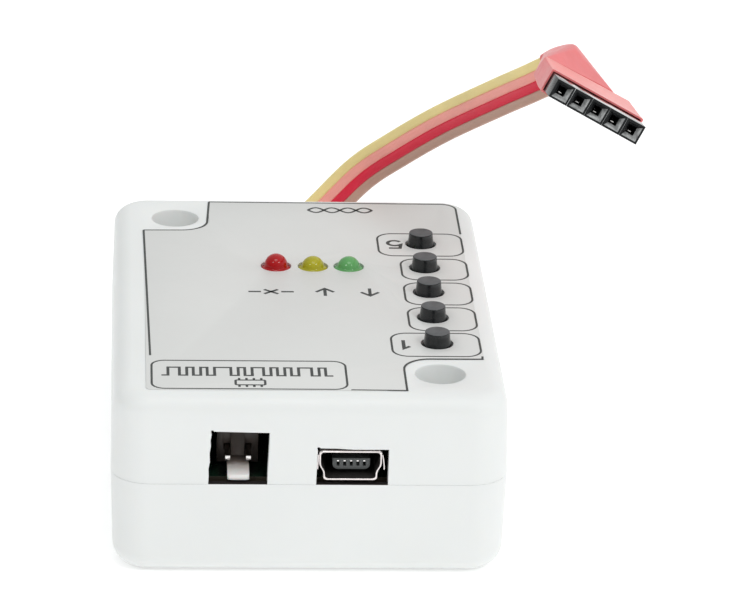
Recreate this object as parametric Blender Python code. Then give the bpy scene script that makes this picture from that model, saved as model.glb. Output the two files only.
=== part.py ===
"""Pocket USB microcontroller programmer with a short ribbon lead.

The body is a two-part moulded case that holds one circuit board. Five push buttons and three
signal lamps show through the lid, a small USB socket and a two-pin header open in the near wall,
and a four-wire ribbon leaves the far wall for a five-way socket strip.

Axes: +X is right, +Y is away from the near wall, +Z is up. The origin is the bottom centre of
the case. Dimensions are in millimetres and are turned into metres when a mesh is made.
"""
import math

import bmesh
import bpy
from mathutils import Matrix, Vector

MM = 0.001

# ---- driving dimensions ---------------------------------------------------------------------
CASE_WIDTH = 48.6
CASE_LENGTH = 70.6
CASE_HEIGHT = 23.5
PARTING_HEIGHT = 12.3
PARTING_GAP = 0.2
DRAFT = 0.028
WALL = 2.0
SIDE_CORNER = 4.8
TOP_EDGE = 2.3
BOTTOM_EDGE = 2.8
SKIRT_DEPTH = 1.2
SKIRT_INSET = 1.3
REBATE_INSET = 1.0
REST_GAP = 0.25

LABEL_BOTTOM = 23.3
LABEL_TOP = 23.56
LABEL_RECESS = 0.3
LABEL_GAP = 0.1

CASE_SCREWS = ((16.0, -26.7), (-16.0, 26.7))
WELL_RADIUS = 3.05
WELL_FLOOR = 14.4
WELL_TUBE_RADIUS = 4.3
WELL_TUBE_BOTTOM = 12.6
BOSS_RADIUS = 3.2
PILOT_RADIUS = 1.3
SCREW_SHAFT_RADIUS = 1.1

BOARD_SCREWS = ((-16.5, -27.3), (16.5, 27.3))
BOARD_BOTTOM = 10.7
BOARD_THICKNESS = 1.6
BOARD_TOP = BOARD_BOTTOM + BOARD_THICKNESS
PART_BASE = BOARD_TOP + 0.2

BUTTON_X = 16.2
BUTTON_FIRST_Y = -17.05
BUTTON_PITCH = 8.64
BUTTON_COUNT = 5
BUTTON_TOP = 25.2
BUTTON_HOLE = 2.15
SWITCH_SIZE = 6.2
SWITCH_TOP = PART_BASE + 3.3

LAMP_Y = 9.1
LAMP_XS = {"red": -3.1, "yellow": 1.7, "green": 6.35}
LAMP_TOPS = {"red": 25.2, "yellow": 24.9, "green": 24.9}
LAMP_HOLE = 2.0

USB_X = 4.8
USB_FRONT = -35.0
USB_DEPTH = 9.0
USB_BASE = BOARD_TOP + 0.5
USB_WALL = 0.35

HEADER_X = -8.8
HEADER_PITCH = 2.54
HEADER_PIN = 0.64
HEADER_PIN_Z = 14.5
HEADER_PIN_TIP = -32.3

RIBBON_WIRES = 4
RIBBON_PITCH = 1.27
RIBBON_CREST = 0.45
RIBBON_VALLEY = 0.3
RIBBON_STATIONS = 28
# middle line of the ribbon, from the board to the heat-shrink sleeve, and its width direction
RIBBON_ROUTE = (
    ((-1.5, 25.6, 13.55), (1.0, 0.0, 0.0)),
    ((-1.5, 30.0, 13.55), (1.0, 0.0, 0.0)),
    ((-1.5, 35.2, 13.55), (1.0, 0.0, 0.0)),
    ((-1.2, 39.2, 13.9), (0.98, -0.08, -0.15)),
    ((0.6, 42.2, 15.2), (0.88, -0.18, -0.42)),
    ((3.9, 43.6, 17.8), (0.74, -0.27, -0.61)),
    ((9.3, 43.0, 23.9), (0.66, -0.29, -0.69)),
    ((14.1, 39.8, 28.7), (0.53, -0.32, -0.78)),
    ((19.8, 34.7, 34.3), (0.44, -0.33, -0.83)),
    ((26.6, 26.2, 41.1), (0.39, -0.33, -0.86)),
    ((30.1, 21.5, 44.6), (0.39, -0.33, -0.86)),
    ((33.0, 18.4, 47.3), (0.39, -0.34, -0.86)),
)

# socket strip: centre of its front face, direction of its depth and of its row of contacts
STRIP_FRONT = (36.2, -4.8, 50.0)
STRIP_BACK = (-0.021, 0.9845, -0.174)
STRIP_ROW = (0.878, -0.065, -0.4735)
STRIP_WAYS = 5
STRIP_PITCH = 2.54
STRIP_HEIGHT = 2.54
STRIP_DEPTH = 8.5
# sleeve from the ribbon to the strip: middle, width direction, then width, thickness and corner
SLEEVE_ROUTE = (
    ((32.4, 19.0, 46.8), (0.39, -0.34, -0.86), (5.5, 1.4, 0.6)),
    ((33.7, 17.9, 47.8), (0.39, -0.34, -0.86), (6.0, 2.0, 0.9)),
    ((35.3, 16.4, 48.6), (0.46, -0.34, -0.82), (6.3, 2.5, 1.0)),
    ((35.9, 14.2, 48.9), (0.60, -0.32, -0.73), (6.9, 2.6, 0.9)),
    ((35.7, 11.4, 48.5), (0.76, -0.28, -0.58), (9.6, 2.8, 0.8)),
    ((35.6, 8.6, 48.4), (0.87, -0.10, -0.47), (12.8, 3.1, 0.4)),
)
# its boxy end on the strip: distance behind the strip's front, then width, thickness and corner
SLEEVE_END = ((9.0, 13.35, 3.2, 0.25), (5.3, 13.35, 3.2, 0.2))


# ---- small tools ----------------------------------------------------------------------------
def clear_scene():
    for thing in list(bpy.data.objects):
        bpy.data.objects.remove(thing, do_unlink=True)


def make_material(name, color, roughness, metallic=0.0):
    material = bpy.data.materials.new(name)
    material.use_nodes = True
    shader = material.node_tree.nodes["Principled BSDF"]
    shader.inputs["Base Color"].default_value = (*color, 1.0)
    shader.inputs["Roughness"].default_value = roughness
    shader.inputs["Metallic"].default_value = metallic
    return material


def to_mesh(name, bm):
    """Turns a bmesh drawn in millimetres into a mesh in metres with outward faces."""
    bmesh.ops.recalc_face_normals(bm, faces=bm.faces)
    bmesh.ops.scale(bm, vec=(MM, MM, MM), verts=bm.verts)
    mesh = bpy.data.meshes.new(name)
    bm.to_mesh(mesh)
    bm.free()
    return mesh


def add_object(name, mesh, material=None, at=(0.0, 0.0, 0.0), smooth=False):
    thing = bpy.data.objects.new(name, mesh)
    bpy.context.scene.collection.objects.link(thing)
    thing.location = Vector(at) * MM
    if material is not None and not mesh.materials:
        mesh.materials.append(material)
    if smooth:
        mesh.shade_smooth()
        mesh.set_sharp_from_angle(angle=math.radians(35))
    return thing


def combine(target, tool, operation):
    """Joins or cuts target with tool, keeps the result as target's mesh and drops the tool."""
    step = target.modifiers.new("shape", "BOOLEAN")
    step.operation = operation
    step.solver = "EXACT"
    step.object = tool
    bpy.context.view_layer.update()
    depsgraph = bpy.context.evaluated_depsgraph_get()
    result = bpy.data.meshes.new_from_object(target.evaluated_get(depsgraph))
    target.modifiers.clear()
    target.data = result
    bpy.data.objects.remove(tool, do_unlink=True)


def cut(target, tool_mesh, at=(0.0, 0.0, 0.0)):
    combine(target, add_object("tool", tool_mesh, at=at), "DIFFERENCE")


def join(target, tool_mesh, at=(0.0, 0.0, 0.0)):
    combine(target, add_object("tool", tool_mesh, at=at), "UNION")


def skin_rings(bm, rings):
    """Closes a stack of equal rings of points into one body."""
    rows = [[bm.verts.new(point) for point in ring] for ring in rings]
    for lower, upper in zip(rows, rows[1:]):
        for i in range(len(lower)):
            j = (i + 1) % len(lower)
            bm.faces.new((lower[i], lower[j], upper[j], upper[i]))
    bm.faces.new(list(reversed(rows[0])))
    bm.faces.new(rows[-1])


def loft(rings):
    bm = bmesh.new()
    skin_rings(bm, rings)
    return to_mesh("loft", bm)


def prism(outline, low, high, axis="Z"):
    """Extrudes an outline along Z, or along Y when the outline is drawn in X and Z."""
    if axis == "Z":
        rings = [[(x, y, level) for x, y in outline] for level in (low, high)]
    else:
        rings = [[(x, level, z) for x, z in outline] for level in (low, high)]
    return loft(rings)


def block(x0, x1, y0, y1, z0, z1):
    return prism(((x0, y0), (x1, y0), (x1, y1), (x0, y1)), z0, z1)


def turned(profile, sides=20):
    """Turns (radius, height) points about Z; the first and last points lie on the axis."""
    bm = bmesh.new()
    ends = [bm.verts.new((0.0, 0.0, profile[0][1])), bm.verts.new((0.0, 0.0, profile[-1][1]))]
    rows = []
    for radius, height in profile[1:-1]:
        turns = [2 * math.pi * k / sides for k in range(sides)]
        rows.append([bm.verts.new((radius * math.cos(t), radius * math.sin(t), height)) for t in turns])
    for k in range(sides):
        n = (k + 1) % sides
        bm.faces.new((ends[0], rows[0][k], rows[0][n]))
        bm.faces.new((ends[1], rows[-1][n], rows[-1][k]))
        for upper, lower in zip(rows, rows[1:]):
            bm.faces.new((upper[k], lower[k], lower[n], upper[n]))
    return to_mesh("turned", bm)


def rod(radius, low, high, sides=20):
    return turned(((0.0, high), (radius, high), (radius, low), (0.0, low)), sides)


def rounded_outline(half_width, half_length, radius, steps=5):
    """Corner-rounded rectangle about the origin, as (x, y) points."""
    points = []
    for index, (sx, sy) in enumerate(((1, 1), (-1, 1), (-1, -1), (1, -1))):
        for step in range(steps + 1):
            angle = math.pi / 2 * (index + step / steps)
            x = sx * (half_width - radius) + radius * math.cos(angle)
            y = sy * (half_length - radius) + radius * math.sin(angle)
            points.append((x, y))
    return points


def case_ring(inset, height):
    """One level line of the case, drawn in from its widest outline by inset."""
    radius = max(SIDE_CORNER - inset, 0.8)
    outline = rounded_outline(CASE_WIDTH / 2 - inset, CASE_LENGTH / 2 - inset, radius)
    return [(x, y, height) for x, y in outline]


def edge_rings(radius, steps=4):
    """Inset and rise of each step around a rounded edge, from its side to its flat."""
    angles = [math.pi / 2 * k / steps for k in range(steps + 1)]
    return [(radius * (1 - math.cos(a)), radius * math.sin(a)) for a in angles]


# ---- case -----------------------------------------------------------------------------------
def make_lower_shell(material):
    rings = []
    for inset, rise in reversed(edge_rings(BOTTOM_EDGE)):
        level = BOTTOM_EDGE - rise
        rings.append(case_ring(inset + DRAFT * (PARTING_HEIGHT - BOTTOM_EDGE), level))
    rim = PARTING_HEIGHT - PARTING_GAP / 2
    rings.append(case_ring(0.0, rim))
    rings.append(case_ring(REBATE_INSET, rim))
    rings.append(case_ring(REBATE_INSET, rim - SKIRT_DEPTH - 0.3))
    rings.append(case_ring(WALL, rim - SKIRT_DEPTH - 0.3))
    rings.append(case_ring(WALL + DRAFT * PARTING_HEIGHT, WALL))
    shell = add_object("lower_shell", loft(rings), material)
    for x, y in CASE_SCREWS:
        join(shell, rod(BOSS_RADIUS, 1.0, PARTING_HEIGHT), (x, y, 0.0))
        cut(shell, rod(PILOT_RADIUS, 3.0, 14.0, 16), (x, y, 0.0))
    for x, y in BOARD_SCREWS:
        join(shell, rod(2.7, 1.0, BOARD_BOTTOM - REST_GAP), (x, y, 0.0))
        cut(shell, rod(PILOT_RADIUS, 3.0, 14.0, 16), (x, y, 0.0))
    for x, y in ((-17.5, 8.0), (17.5, -8.0)):
        join(shell, rod(1.8, 1.0, BOARD_BOTTOM - REST_GAP, 16), (x, y, 0.0))
    return shell


def make_upper_shell(material):
    rim = PARTING_HEIGHT + PARTING_GAP / 2
    shoulder = CASE_HEIGHT - TOP_EDGE
    rings = [case_ring(0.0, rim)]
    for inset, rise in edge_rings(TOP_EDGE):
        rings.append(case_ring(inset + DRAFT * (shoulder - PARTING_HEIGHT), shoulder + rise))
    rings.reverse()
    rings.append(case_ring(SKIRT_INSET, rim))
    rings.append(case_ring(SKIRT_INSET, rim - SKIRT_DEPTH))
    rings.append(case_ring(WALL, rim - SKIRT_DEPTH))
    rings.append(case_ring(WALL + DRAFT * 9.0, CASE_HEIGHT - WALL))
    shell = add_object("upper_shell", loft(rings), material)
    for x, y in CASE_SCREWS:
        join(shell, rod(WELL_TUBE_RADIUS, WELL_TUBE_BOTTOM, CASE_HEIGHT - 1.0, 24), (x, y, 0.0))
        cut(shell, rod(WELL_RADIUS, WELL_FLOOR, CASE_HEIGHT + 1.0, 24), (x, y, 0.0))
        cut(shell, rod(1.65, WELL_TUBE_BOTTOM - 1.0, WELL_FLOOR + 1.0, 16), (x, y, 0.0))
    recess = prism(label_outline(LABEL_GAP), CASE_HEIGHT - LABEL_RECESS, CASE_HEIGHT + 1.0)
    cut(shell, recess)
    for x in LAMP_XS.values():
        cut(shell, rod(LAMP_HOLE, CASE_HEIGHT - 4.0, CASE_HEIGHT + 1.0), (x, LAMP_Y, 0.0))
    for y in button_ys():
        cut(shell, rod(BUTTON_HOLE, CASE_HEIGHT - 4.0, CASE_HEIGHT + 1.0), (BUTTON_X, y, 0.0))
    header_window = ((-12.55, 10.0), (-5.3, 10.0), (-5.07, 19.05), (-12.05, 19.2))
    usb_window = ((0.6, 10.0), (9.4, 10.0), (9.45, 16.95), (0.8, 17.05))
    front = -CASE_LENGTH / 2
    cut(shell, prism(header_window, front - 1.0, front + WALL + 0.6, "Y"))
    cut(shell, prism(usb_window, front - 1.0, front + WALL + 0.6, "Y"))
    slot_middle = RIBBON_ROUTE[0][0][0]
    slot_half = RIBBON_WIRES * RIBBON_PITCH / 2 + 0.4
    back = CASE_LENGTH / 2
    cut(shell, block(slot_middle - slot_half, slot_middle + slot_half, back - WALL - 0.6, back + 1.0,
                     10.0, RIBBON_ROUTE[0][0][2] + 0.85))
    return shell


def label_outline(grow):
    """Outline of the label with its notches around the two screw wells, pushed out by grow."""
    left, right = -20.1 - grow, 21.7 + grow
    near, far = -32.4 - grow, 32.7 + grow
    notch_x, notch_near, notch_far = 11.5, -22.2, 21.9
    corner = 3.4
    radius = corner - grow
    outline = [(left, near), (notch_x + grow, near)]
    for step in range(6):
        angle = math.pi - math.pi / 2 * step / 5
        outline.append((notch_x + corner + radius * math.cos(angle),
                        notch_near - corner + radius * math.sin(angle)))
    outline += [(right, notch_near - grow), (right, far - 2.0), (right - 2.0, far), (-notch_x - grow, far)]
    for step in range(6):
        angle = -math.pi / 2 * step / 5
        outline.append((-notch_x - corner + radius * math.cos(angle),
                        notch_far + corner + radius * math.sin(angle)))
    outline += [(left, notch_far + grow)]
    return outline


def make_label(material):
    """Printed overlay that lies in a shallow recess of the lid, its face just above the rim."""
    low, high = LABEL_BOTTOM, LABEL_TOP
    label = add_object("face_label", prism(label_outline(0.0), low, high), material)
    for x in LAMP_XS.values():
        cut(label, rod(LAMP_HOLE + 0.05, low - 1.0, low + 1.0), (x, LAMP_Y, 0.0))
    for y in button_ys():
        cut(label, rod(BUTTON_HOLE + 0.05, low - 1.0, low + 1.0), (BUTTON_X, y, 0.0))
    return label


def make_screw(name, place, head_base, head_radius, tip, material):
    """Pan-head screw with a cross recess, its shaft shown by its outer diameter."""
    x, y = place
    height = head_radius * 0.62
    profile = (
        (0.0, head_base + height),
        (head_radius * 0.55, head_base + height),
        (head_radius * 0.88, head_base + height * 0.72),
        (head_radius, head_base + height * 0.3),
        (head_radius, head_base),
        (SCREW_SHAFT_RADIUS, head_base),
        (SCREW_SHAFT_RADIUS, tip + 1.0),
        (0.0, tip),
    )
    screw = add_object(name, turned(profile, 18), material)
    arm = head_radius * 0.55
    blade = head_radius * 0.12
    floor = head_base + height * 0.35
    cross = ((arm, blade), (blade, blade), (blade, arm), (-blade, arm), (-blade, blade), (-arm, blade),
             (-arm, -blade), (-blade, -blade), (-blade, -arm), (blade, -arm), (blade, -blade), (arm, -blade))
    cut(screw, prism(cross, floor, head_base + height + 1.0))
    screw.location = Vector((x, y, 0.0)) * MM
    return screw


# ---- circuit board --------------------------------------------------------------------------
def make_board(material):
    """Board with a bay at each case-screw tube and a hole at each of its own screws."""
    half_width = 21.2
    near, far = -33.0, 31.6
    trim = 1.5
    bay_x = CASE_SCREWS[0][0] - WELL_TUBE_RADIUS - 0.5
    bay_y = -CASE_SCREWS[0][1] - WELL_TUBE_RADIUS - 0.5
    outline = ((-half_width, near + trim), (-half_width + trim, near), (bay_x, near), (bay_x, -bay_y),
               (half_width, -bay_y), (half_width, far - trim), (half_width - trim, far),
               (-bay_x, far), (-bay_x, bay_y), (-half_width, bay_y))
    board = add_object("circuit_board", prism(outline, BOARD_BOTTOM, BOARD_TOP), material)
    for x, y in BOARD_SCREWS:
        cut(board, rod(1.55, BOARD_BOTTOM - 1.0, BOARD_TOP + 1.0, 18), (x, y, 0.0))
    return board


def leaded_chip(name, place, body, lead_rows, lead_pitch, lead_count, turned_chip, material):
    """Moulded chip: a box on a comb of flat leads, both in one body."""
    length, width, height = body
    half = lead_rows / 2
    lead = lead_pitch * 0.22
    base = PART_BASE
    chip = add_object(name, block(-length / 2, length / 2, -width / 2, width / 2, base + 0.1, base + height),
                      material)
    for side in (-1, 1):
        for k in range(lead_count):
            x = (k - (lead_count - 1) / 2) * lead_pitch
            inner = side * (width / 2 - 0.5)
            outer = side * half
            join(chip, block(x - lead, x + lead, min(inner, outer), max(inner, outer), base, base + 0.35))
    if turned_chip:
        chip.rotation_euler = (0.0, 0.0, math.pi / 2)
    chip.location = Vector((*place, 0.0)) * MM
    return chip


def make_crystal(place, material):
    outline = rounded_outline(5.5, 2.35, 2.2, 4)
    base = PART_BASE
    rings = [[(x, y, base) for x, y in outline],
             [(x, y, base + 3.0) for x, y in outline],
             [(x * 0.9, y * 0.8, base + 3.5) for x, y in outline]]
    return add_object("crystal", loft(rings), material, (*place, 0.0))


def make_capacitor(name, place, material):
    base = PART_BASE
    profile = ((0.0, base + 5.4), (2.2, base + 5.4), (2.5, base + 5.1), (2.5, base + 1.4), (2.3, base + 1.1),
               (2.5, base + 0.8), (2.5, base), (0.0, base))
    return add_object(name, turned(profile, 18), material, (*place, 0.0), smooth=True)


def make_wire_header(material):
    """Low block on the board that the ribbon's inner end goes into."""
    x, y, z = RIBBON_ROUTE[0][0]
    half = RIBBON_WIRES * RIBBON_PITCH / 2
    header = add_object("wire_header", block(x - half - 1.2, x + half + 1.2, y - 2.0, y + 1.6,
                                             PART_BASE, PART_BASE + 3.0), material)
    cut(header, block(x - half - 0.25, x + half + 0.25, y - 0.3, y + 3.0, z - 0.6, z + 0.75))
    return header


def usb_outline(grow):
    """Mini-B mouth: wide above, drawn in below, as (x, z) points."""
    wide, slim = 3.83 + grow, 3.3 + grow
    top, bottom = USB_BASE + 3.87 + grow, USB_BASE - grow
    waist_top, waist_bottom = USB_BASE + 1.9, USB_BASE + 1.2
    x = USB_X
    return ((x - slim, bottom + 0.4), (x - slim + 0.4, bottom), (x + slim - 0.4, bottom),
            (x + slim, bottom + 0.4), (x + slim, waist_bottom), (x + wide, waist_top),
            (x + wide, top - 0.4), (x + wide - 0.4, top), (x - wide + 0.4, top), (x - wide, top - 0.4),
            (x - wide, waist_top), (x - slim, waist_bottom))


def make_usb_shell(material):
    back = USB_FRONT + USB_DEPTH
    outer = usb_outline(0.0)
    inner = usb_outline(-USB_WALL)
    rings = [[(x, back, z) for x, z in outer], [(x, USB_FRONT, z) for x, z in outer],
             [(x, USB_FRONT, z) for x, z in inner], [(x, back - USB_WALL, z) for x, z in inner]]
    shell = add_object("usb_shell", loft(rings), material)
    join(shell, block(USB_X - 2.9, USB_X + 2.9, USB_FRONT + 2.5, back - 1.0, PART_BASE, USB_BASE + 0.2))
    return shell


def make_usb_tongue(material):
    """Insulator: a block at the back of the shell and the slotted tongue on it."""
    back = USB_FRONT + USB_DEPTH - USB_WALL - 0.2
    x = USB_X
    low = USB_BASE + 0.95
    tongue = add_object("usb_tongue", prism(usb_outline(-USB_WALL - 0.2), back - 1.8, back, "Y"), material)
    join(tongue, block(x - 2.3, x + 2.3, USB_FRONT + 1.2, back - 1.0, low, low + 1.45))
    for k in range(5):
        middle = x + (k - 2) * 0.8
        cut(tongue, block(middle - 0.18, middle + 0.18, USB_FRONT, USB_FRONT + 5.0, low + 0.55, low + 1.1))
    return tongue


def make_header_wafer(material):
    """Two-way header block, the friction tongue that runs out below its pins and a rib between them."""
    x = HEADER_X
    half = HEADER_PITCH
    base = PART_BASE
    wafer = add_object("header_wafer", block(x - half, x + half, -28.8, -25.6, base, base + 6.4), material)
    tongue = ((-34.9, base + 0.45), (-34.55, base + 0.05), (-28.0, base + 0.05), (-28.0, base + 1.4),
              (-31.0, base + 1.35), (-34.6, base + 0.95))
    rib = ((-30.2, base + 1.0), (-28.0, base + 1.0), (-28.0, base + 5.6), (-29.2, base + 3.4))
    for outline, half_width in ((tongue, 1.33), (rib, 0.85)):
        rings = [[(level, y, z) for y, z in outline] for level in (x - half_width, x + half_width)]
        join(wafer, loft(rings))
    for side in (-1, 1):
        middle = x + side * HEADER_PITCH / 2
        hole = HEADER_PIN / 2 + 0.1
        cut(wafer, block(middle - hole, middle + hole, -30.0, -25.0, HEADER_PIN_Z - hole, HEADER_PIN_Z + hole))
    return wafer


def make_header_pins(material):
    half = HEADER_PIN / 2
    z = HEADER_PIN_Z
    tip = HEADER_PIN_TIP
    heel = -24.9
    side_view = ((tip, z - half), (heel, z - half), (heel, PART_BASE), (heel + HEADER_PIN, PART_BASE),
                 (heel + HEADER_PIN, z + half), (tip, z + half))
    for index, side in enumerate((-1, 1), start=1):
        middle = HEADER_X + side * HEADER_PITCH / 2
        rings = [[(level, y, w) for y, w in side_view] for level in (middle - half, middle + half)]
        add_object(f"header_pin_{index}", loft(rings), material)


# ---- lamps ----------------------------------------------------------------------------------
def make_lamp(color, material):
    """Round 3 mm lamp: dome, skirt that fills its hole, flange and two legs in one body."""
    top = LAMP_TOPS[color]
    x = LAMP_XS[color]
    radius = 1.5
    profile = [(0.0, top)]
    for step in range(1, 5):
        angle = math.pi / 2 * step / 4
        profile.append((radius * math.sin(angle), top - radius * (1 - math.cos(angle))))
    profile = [point for point in profile if point[1] > CASE_HEIGHT + 0.15]
    profile += [(1.55, CASE_HEIGHT + 0.08), (1.86, CASE_HEIGHT - 0.05), (1.86, CASE_HEIGHT - 3.3),
                (0.0, CASE_HEIGHT - 3.3)]
    lamp = add_object(f"led_{color}", turned(profile, 18), material)
    for side in (-1, 1):
        y = side * 1.27
        join(lamp, block(-0.25, 0.25, y - 0.25, y + 0.25, PART_BASE, CASE_HEIGHT - 3.0))
    lamp.location = Vector((x, LAMP_Y, 0.0)) * MM
    return lamp


# ---- push buttons ---------------------------------------------------------------------------
def button_ys():
    return [BUTTON_FIRST_Y + BUTTON_PITCH * k for k in range(BUTTON_COUNT)]


def switch_body_shape():
    half = SWITCH_SIZE / 2
    body = add_object("shape", prism(rounded_outline(half, half, 0.5, 1), PART_BASE, SWITCH_TOP))
    for side_x in (-1, 1):
        for side_y in (-1, 1):
            x, y = side_x * (half + 0.3), side_y * 2.25
            join(body, block(x - 0.6, x + 0.6, y - 0.35, y + 0.35, PART_BASE, PART_BASE + 0.3))
    cut(body, rod(2.2, PART_BASE + 1.0, SWITCH_TOP + 1.0))
    mesh = body.data
    bpy.data.objects.remove(body)
    return mesh


def switch_cover_shape():
    """Pressed steel cover with the round opening that keeps the button's flange in."""
    half = SWITCH_SIZE / 2 - 0.1
    low = SWITCH_TOP + 0.15
    cover = add_object("shape", prism(rounded_outline(half, half, 0.5, 1), low, low + 0.3))
    cut(cover, rod(1.85, low - 1.0, low + 1.0))
    mesh = cover.data
    bpy.data.objects.remove(cover)
    return mesh


def switch_dome_shape():
    """Snap dome, a shallow sheet cap that rests on the floor of the body."""
    floor = PART_BASE + 1.2
    profile = ((0.0, floor + 0.5), (1.0, floor + 0.4), (1.7, floor), (1.45, floor), (0.9, floor + 0.2),
               (0.0, floor + 0.3))
    return turned(profile, 16)


def button_shape():
    """Plunger: nub and flange in the switch, stem, and the flared cap that shows."""
    flange = SWITCH_TOP - 0.25
    profile = (
        (0.0, BUTTON_TOP),
        (1.4, BUTTON_TOP),
        (1.56, BUTTON_TOP - 0.18),
        (1.68, CASE_HEIGHT + 0.75),
        (1.82, CASE_HEIGHT + 0.3),
        (1.9, CASE_HEIGHT - 0.1),
        (1.9, CASE_HEIGHT - 1.4),
        (1.6, CASE_HEIGHT - 1.7),
        (1.6, flange),
        (1.95, flange),
        (1.95, flange - 0.6),
        (0.8, flange - 0.8),
        (0.8, flange - 0.95),
        (0.0, flange - 0.95),
    )
    return turned(profile, 18)


def make_buttons(plastic, body_plastic, steel, parent):
    body = switch_body_shape()
    cover = switch_cover_shape()
    dome = switch_dome_shape()
    button = button_shape()
    for index, y in enumerate(button_ys(), start=1):
        place = (BUTTON_X, y, 0.0)
        axis = bpy.data.objects.new(f"axis_{index}", None)
        bpy.context.scene.collection.objects.link(axis)
        axis.location = Vector(place) * MM
        axis.parent = parent
        pieces = [
            add_object(f"switch_body_{index}", body, body_plastic),
            add_object(f"switch_cover_{index}", cover, steel),
            add_object(f"switch_dome_{index}", dome, steel),
            add_object(f"switch_button_{index}", button, plastic, smooth=True),
        ]
        for piece in pieces:
            piece.parent = axis


# ---- ribbon lead ----------------------------------------------------------------------------
def between(points, position):
    """Smooth value at a fractional index along a list of vectors (Catmull-Rom)."""
    last = len(points) - 1
    index = min(int(position), last - 1)
    t = position - index
    before = points[max(index - 1, 0)]
    start, end = points[index], points[index + 1]
    after = points[min(index + 2, last)]
    return 0.5 * (2 * start + (end - before) * t + (2 * before - 5 * start + 4 * end - after) * t * t
                  + (3 * start - before - 3 * end + after) * t ** 3)


def stations(route, count):
    """Middle, width direction and face direction at even steps along a route."""
    middles = [Vector(step[0]) for step in route]
    widths = [Vector(step[1]) for step in route]
    last = len(route) - 1
    found = []
    for k in range(count):
        position = last * k / (count - 1)
        middle = between(middles, position)
        ahead = between(middles, min(position + 0.02, last))
        behind = between(middles, max(position - 0.02, 0.0))
        forward = (ahead - behind).normalized()
        width = between(widths, position)
        width = (width - width.dot(forward) * forward).normalized()
        found.append((middle, width, width.cross(forward)))
    return found


def ribbon_section():
    """Outline of four moulded-together wires, as (across, through) points."""
    half = RIBBON_WIRES * RIBBON_PITCH / 2
    upper = [(-half, 0.0)]
    for wire in range(RIBBON_WIRES):
        start = -half + wire * RIBBON_PITCH
        upper.append((start + RIBBON_PITCH * 0.25, RIBBON_CREST))
        upper.append((start + RIBBON_PITCH * 0.75, RIBBON_CREST))
        if wire < RIBBON_WIRES - 1:
            upper.append((start + RIBBON_PITCH, RIBBON_VALLEY))
    lower = [(-across, -through) for across, through in upper]
    return upper + lower


def sweep(route, count, section):
    rings = []
    for middle, width, face in stations(route, count):
        rings.append([middle + width * across + face * through for across, through in section])
    return loft(rings)


def make_ribbon(material):
    return add_object("ribbon_cable", sweep(RIBBON_ROUTE, RIBBON_STATIONS, ribbon_section()), material)


def sleeve_shape(count=17):
    """Heat-shrink sleeve: flat sections that widen from the ribbon to a boxy end on the strip."""
    sizes = [Vector(step[2]) for step in SLEEVE_ROUTE]
    last = len(SLEEVE_ROUTE) - 1
    rings = []
    for k, (middle, width, face) in enumerate(stations(SLEEVE_ROUTE, count)):
        wide, thick, corner = between(sizes, last * k / (count - 1))
        outline = rounded_outline(wide / 2, thick / 2, corner, 3)
        rings.append([middle + width * across + face * through for across, through in outline])
    turn = strip_frame()
    for depth, wide, thick, corner in SLEEVE_END:
        outline = rounded_outline(wide / 2, thick / 2, corner, 3)
        rings.append([turn @ Vector((x * MM, depth * MM, -z * MM)) / MM for x, z in outline])
    return loft(rings)


def strip_frame():
    """Matrix from the strip's own axes (row, depth, height) to the object's, in metres."""
    depth = Vector(STRIP_BACK).normalized()
    row = Vector(STRIP_ROW)
    row = (row - row.dot(depth) * depth).normalized()
    height = row.cross(depth)
    turn = Matrix((row, depth, height)).transposed().to_4x4()
    return Matrix.Translation(Vector(STRIP_FRONT) * MM) @ turn


def strip_box(grow, start, end):
    half_row = STRIP_WAYS * STRIP_PITCH / 2 + grow
    half_height = STRIP_HEIGHT / 2 + grow
    return block(-half_row, half_row, start, end, -half_height, half_height)


def make_sleeve(material):
    sleeve = add_object("heat_shrink_sleeve", sleeve_shape(), material)
    pocket = add_object("tool", strip_box(0.12, 2.0, STRIP_DEPTH + 0.2))
    pocket.matrix_world = strip_frame()
    combine(sleeve, pocket, "DIFFERENCE")
    half = RIBBON_WIRES * RIBBON_PITCH / 2 + 0.15
    tall = RIBBON_CREST + 0.15
    room = ((-half, -tall), (half, -tall), (half, tall), (-half, tall))
    tip = Vector(RIBBON_ROUTE[-1][0])
    onward = (tip - Vector(RIBBON_ROUTE[-2][0])).normalized()
    end = (tuple(tip + onward * 0.2), RIBBON_ROUTE[-1][1])
    cut(sleeve, sweep(RIBBON_ROUTE[-4:-1] + (end,), 14, room))
    return sleeve


def strip_ways():
    return [(k - (STRIP_WAYS - 1) / 2) * STRIP_PITCH for k in range(STRIP_WAYS)]


def make_strip(material):
    """Socket strip: a bar with a square funnel and a square bore at each way."""
    strip = add_object("socket_housing", strip_box(0.0, 0.0, STRIP_DEPTH), material)
    for x in strip_ways():
        mouth, throat = 0.98, 0.48
        funnel = []
        for half, depth in ((mouth * 1.1, -0.1), (throat, 1.0), (throat, 6.8)):
            corners = ((-half, -half), (half, -half), (half, half), (-half, half))
            funnel.append([(x + a, depth, b) for a, b in corners])
        cut(strip, loft(funnel))
    strip.matrix_world = strip_frame()
    return strip


def make_contacts(material):
    """One folded contact leaf in each bore."""
    for index, x in enumerate(strip_ways(), start=1):
        outline = ((1.9, -0.32), (6.4, -0.32), (6.4, 0.25), (2.6, 0.25), (1.9, 0.0))
        rings = [[(level, depth, height) for depth, height in outline] for level in (x - 0.28, x + 0.28)]
        contact = add_object(f"socket_contact_{index}", loft(rings), material)
        contact.matrix_world = strip_frame()


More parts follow.
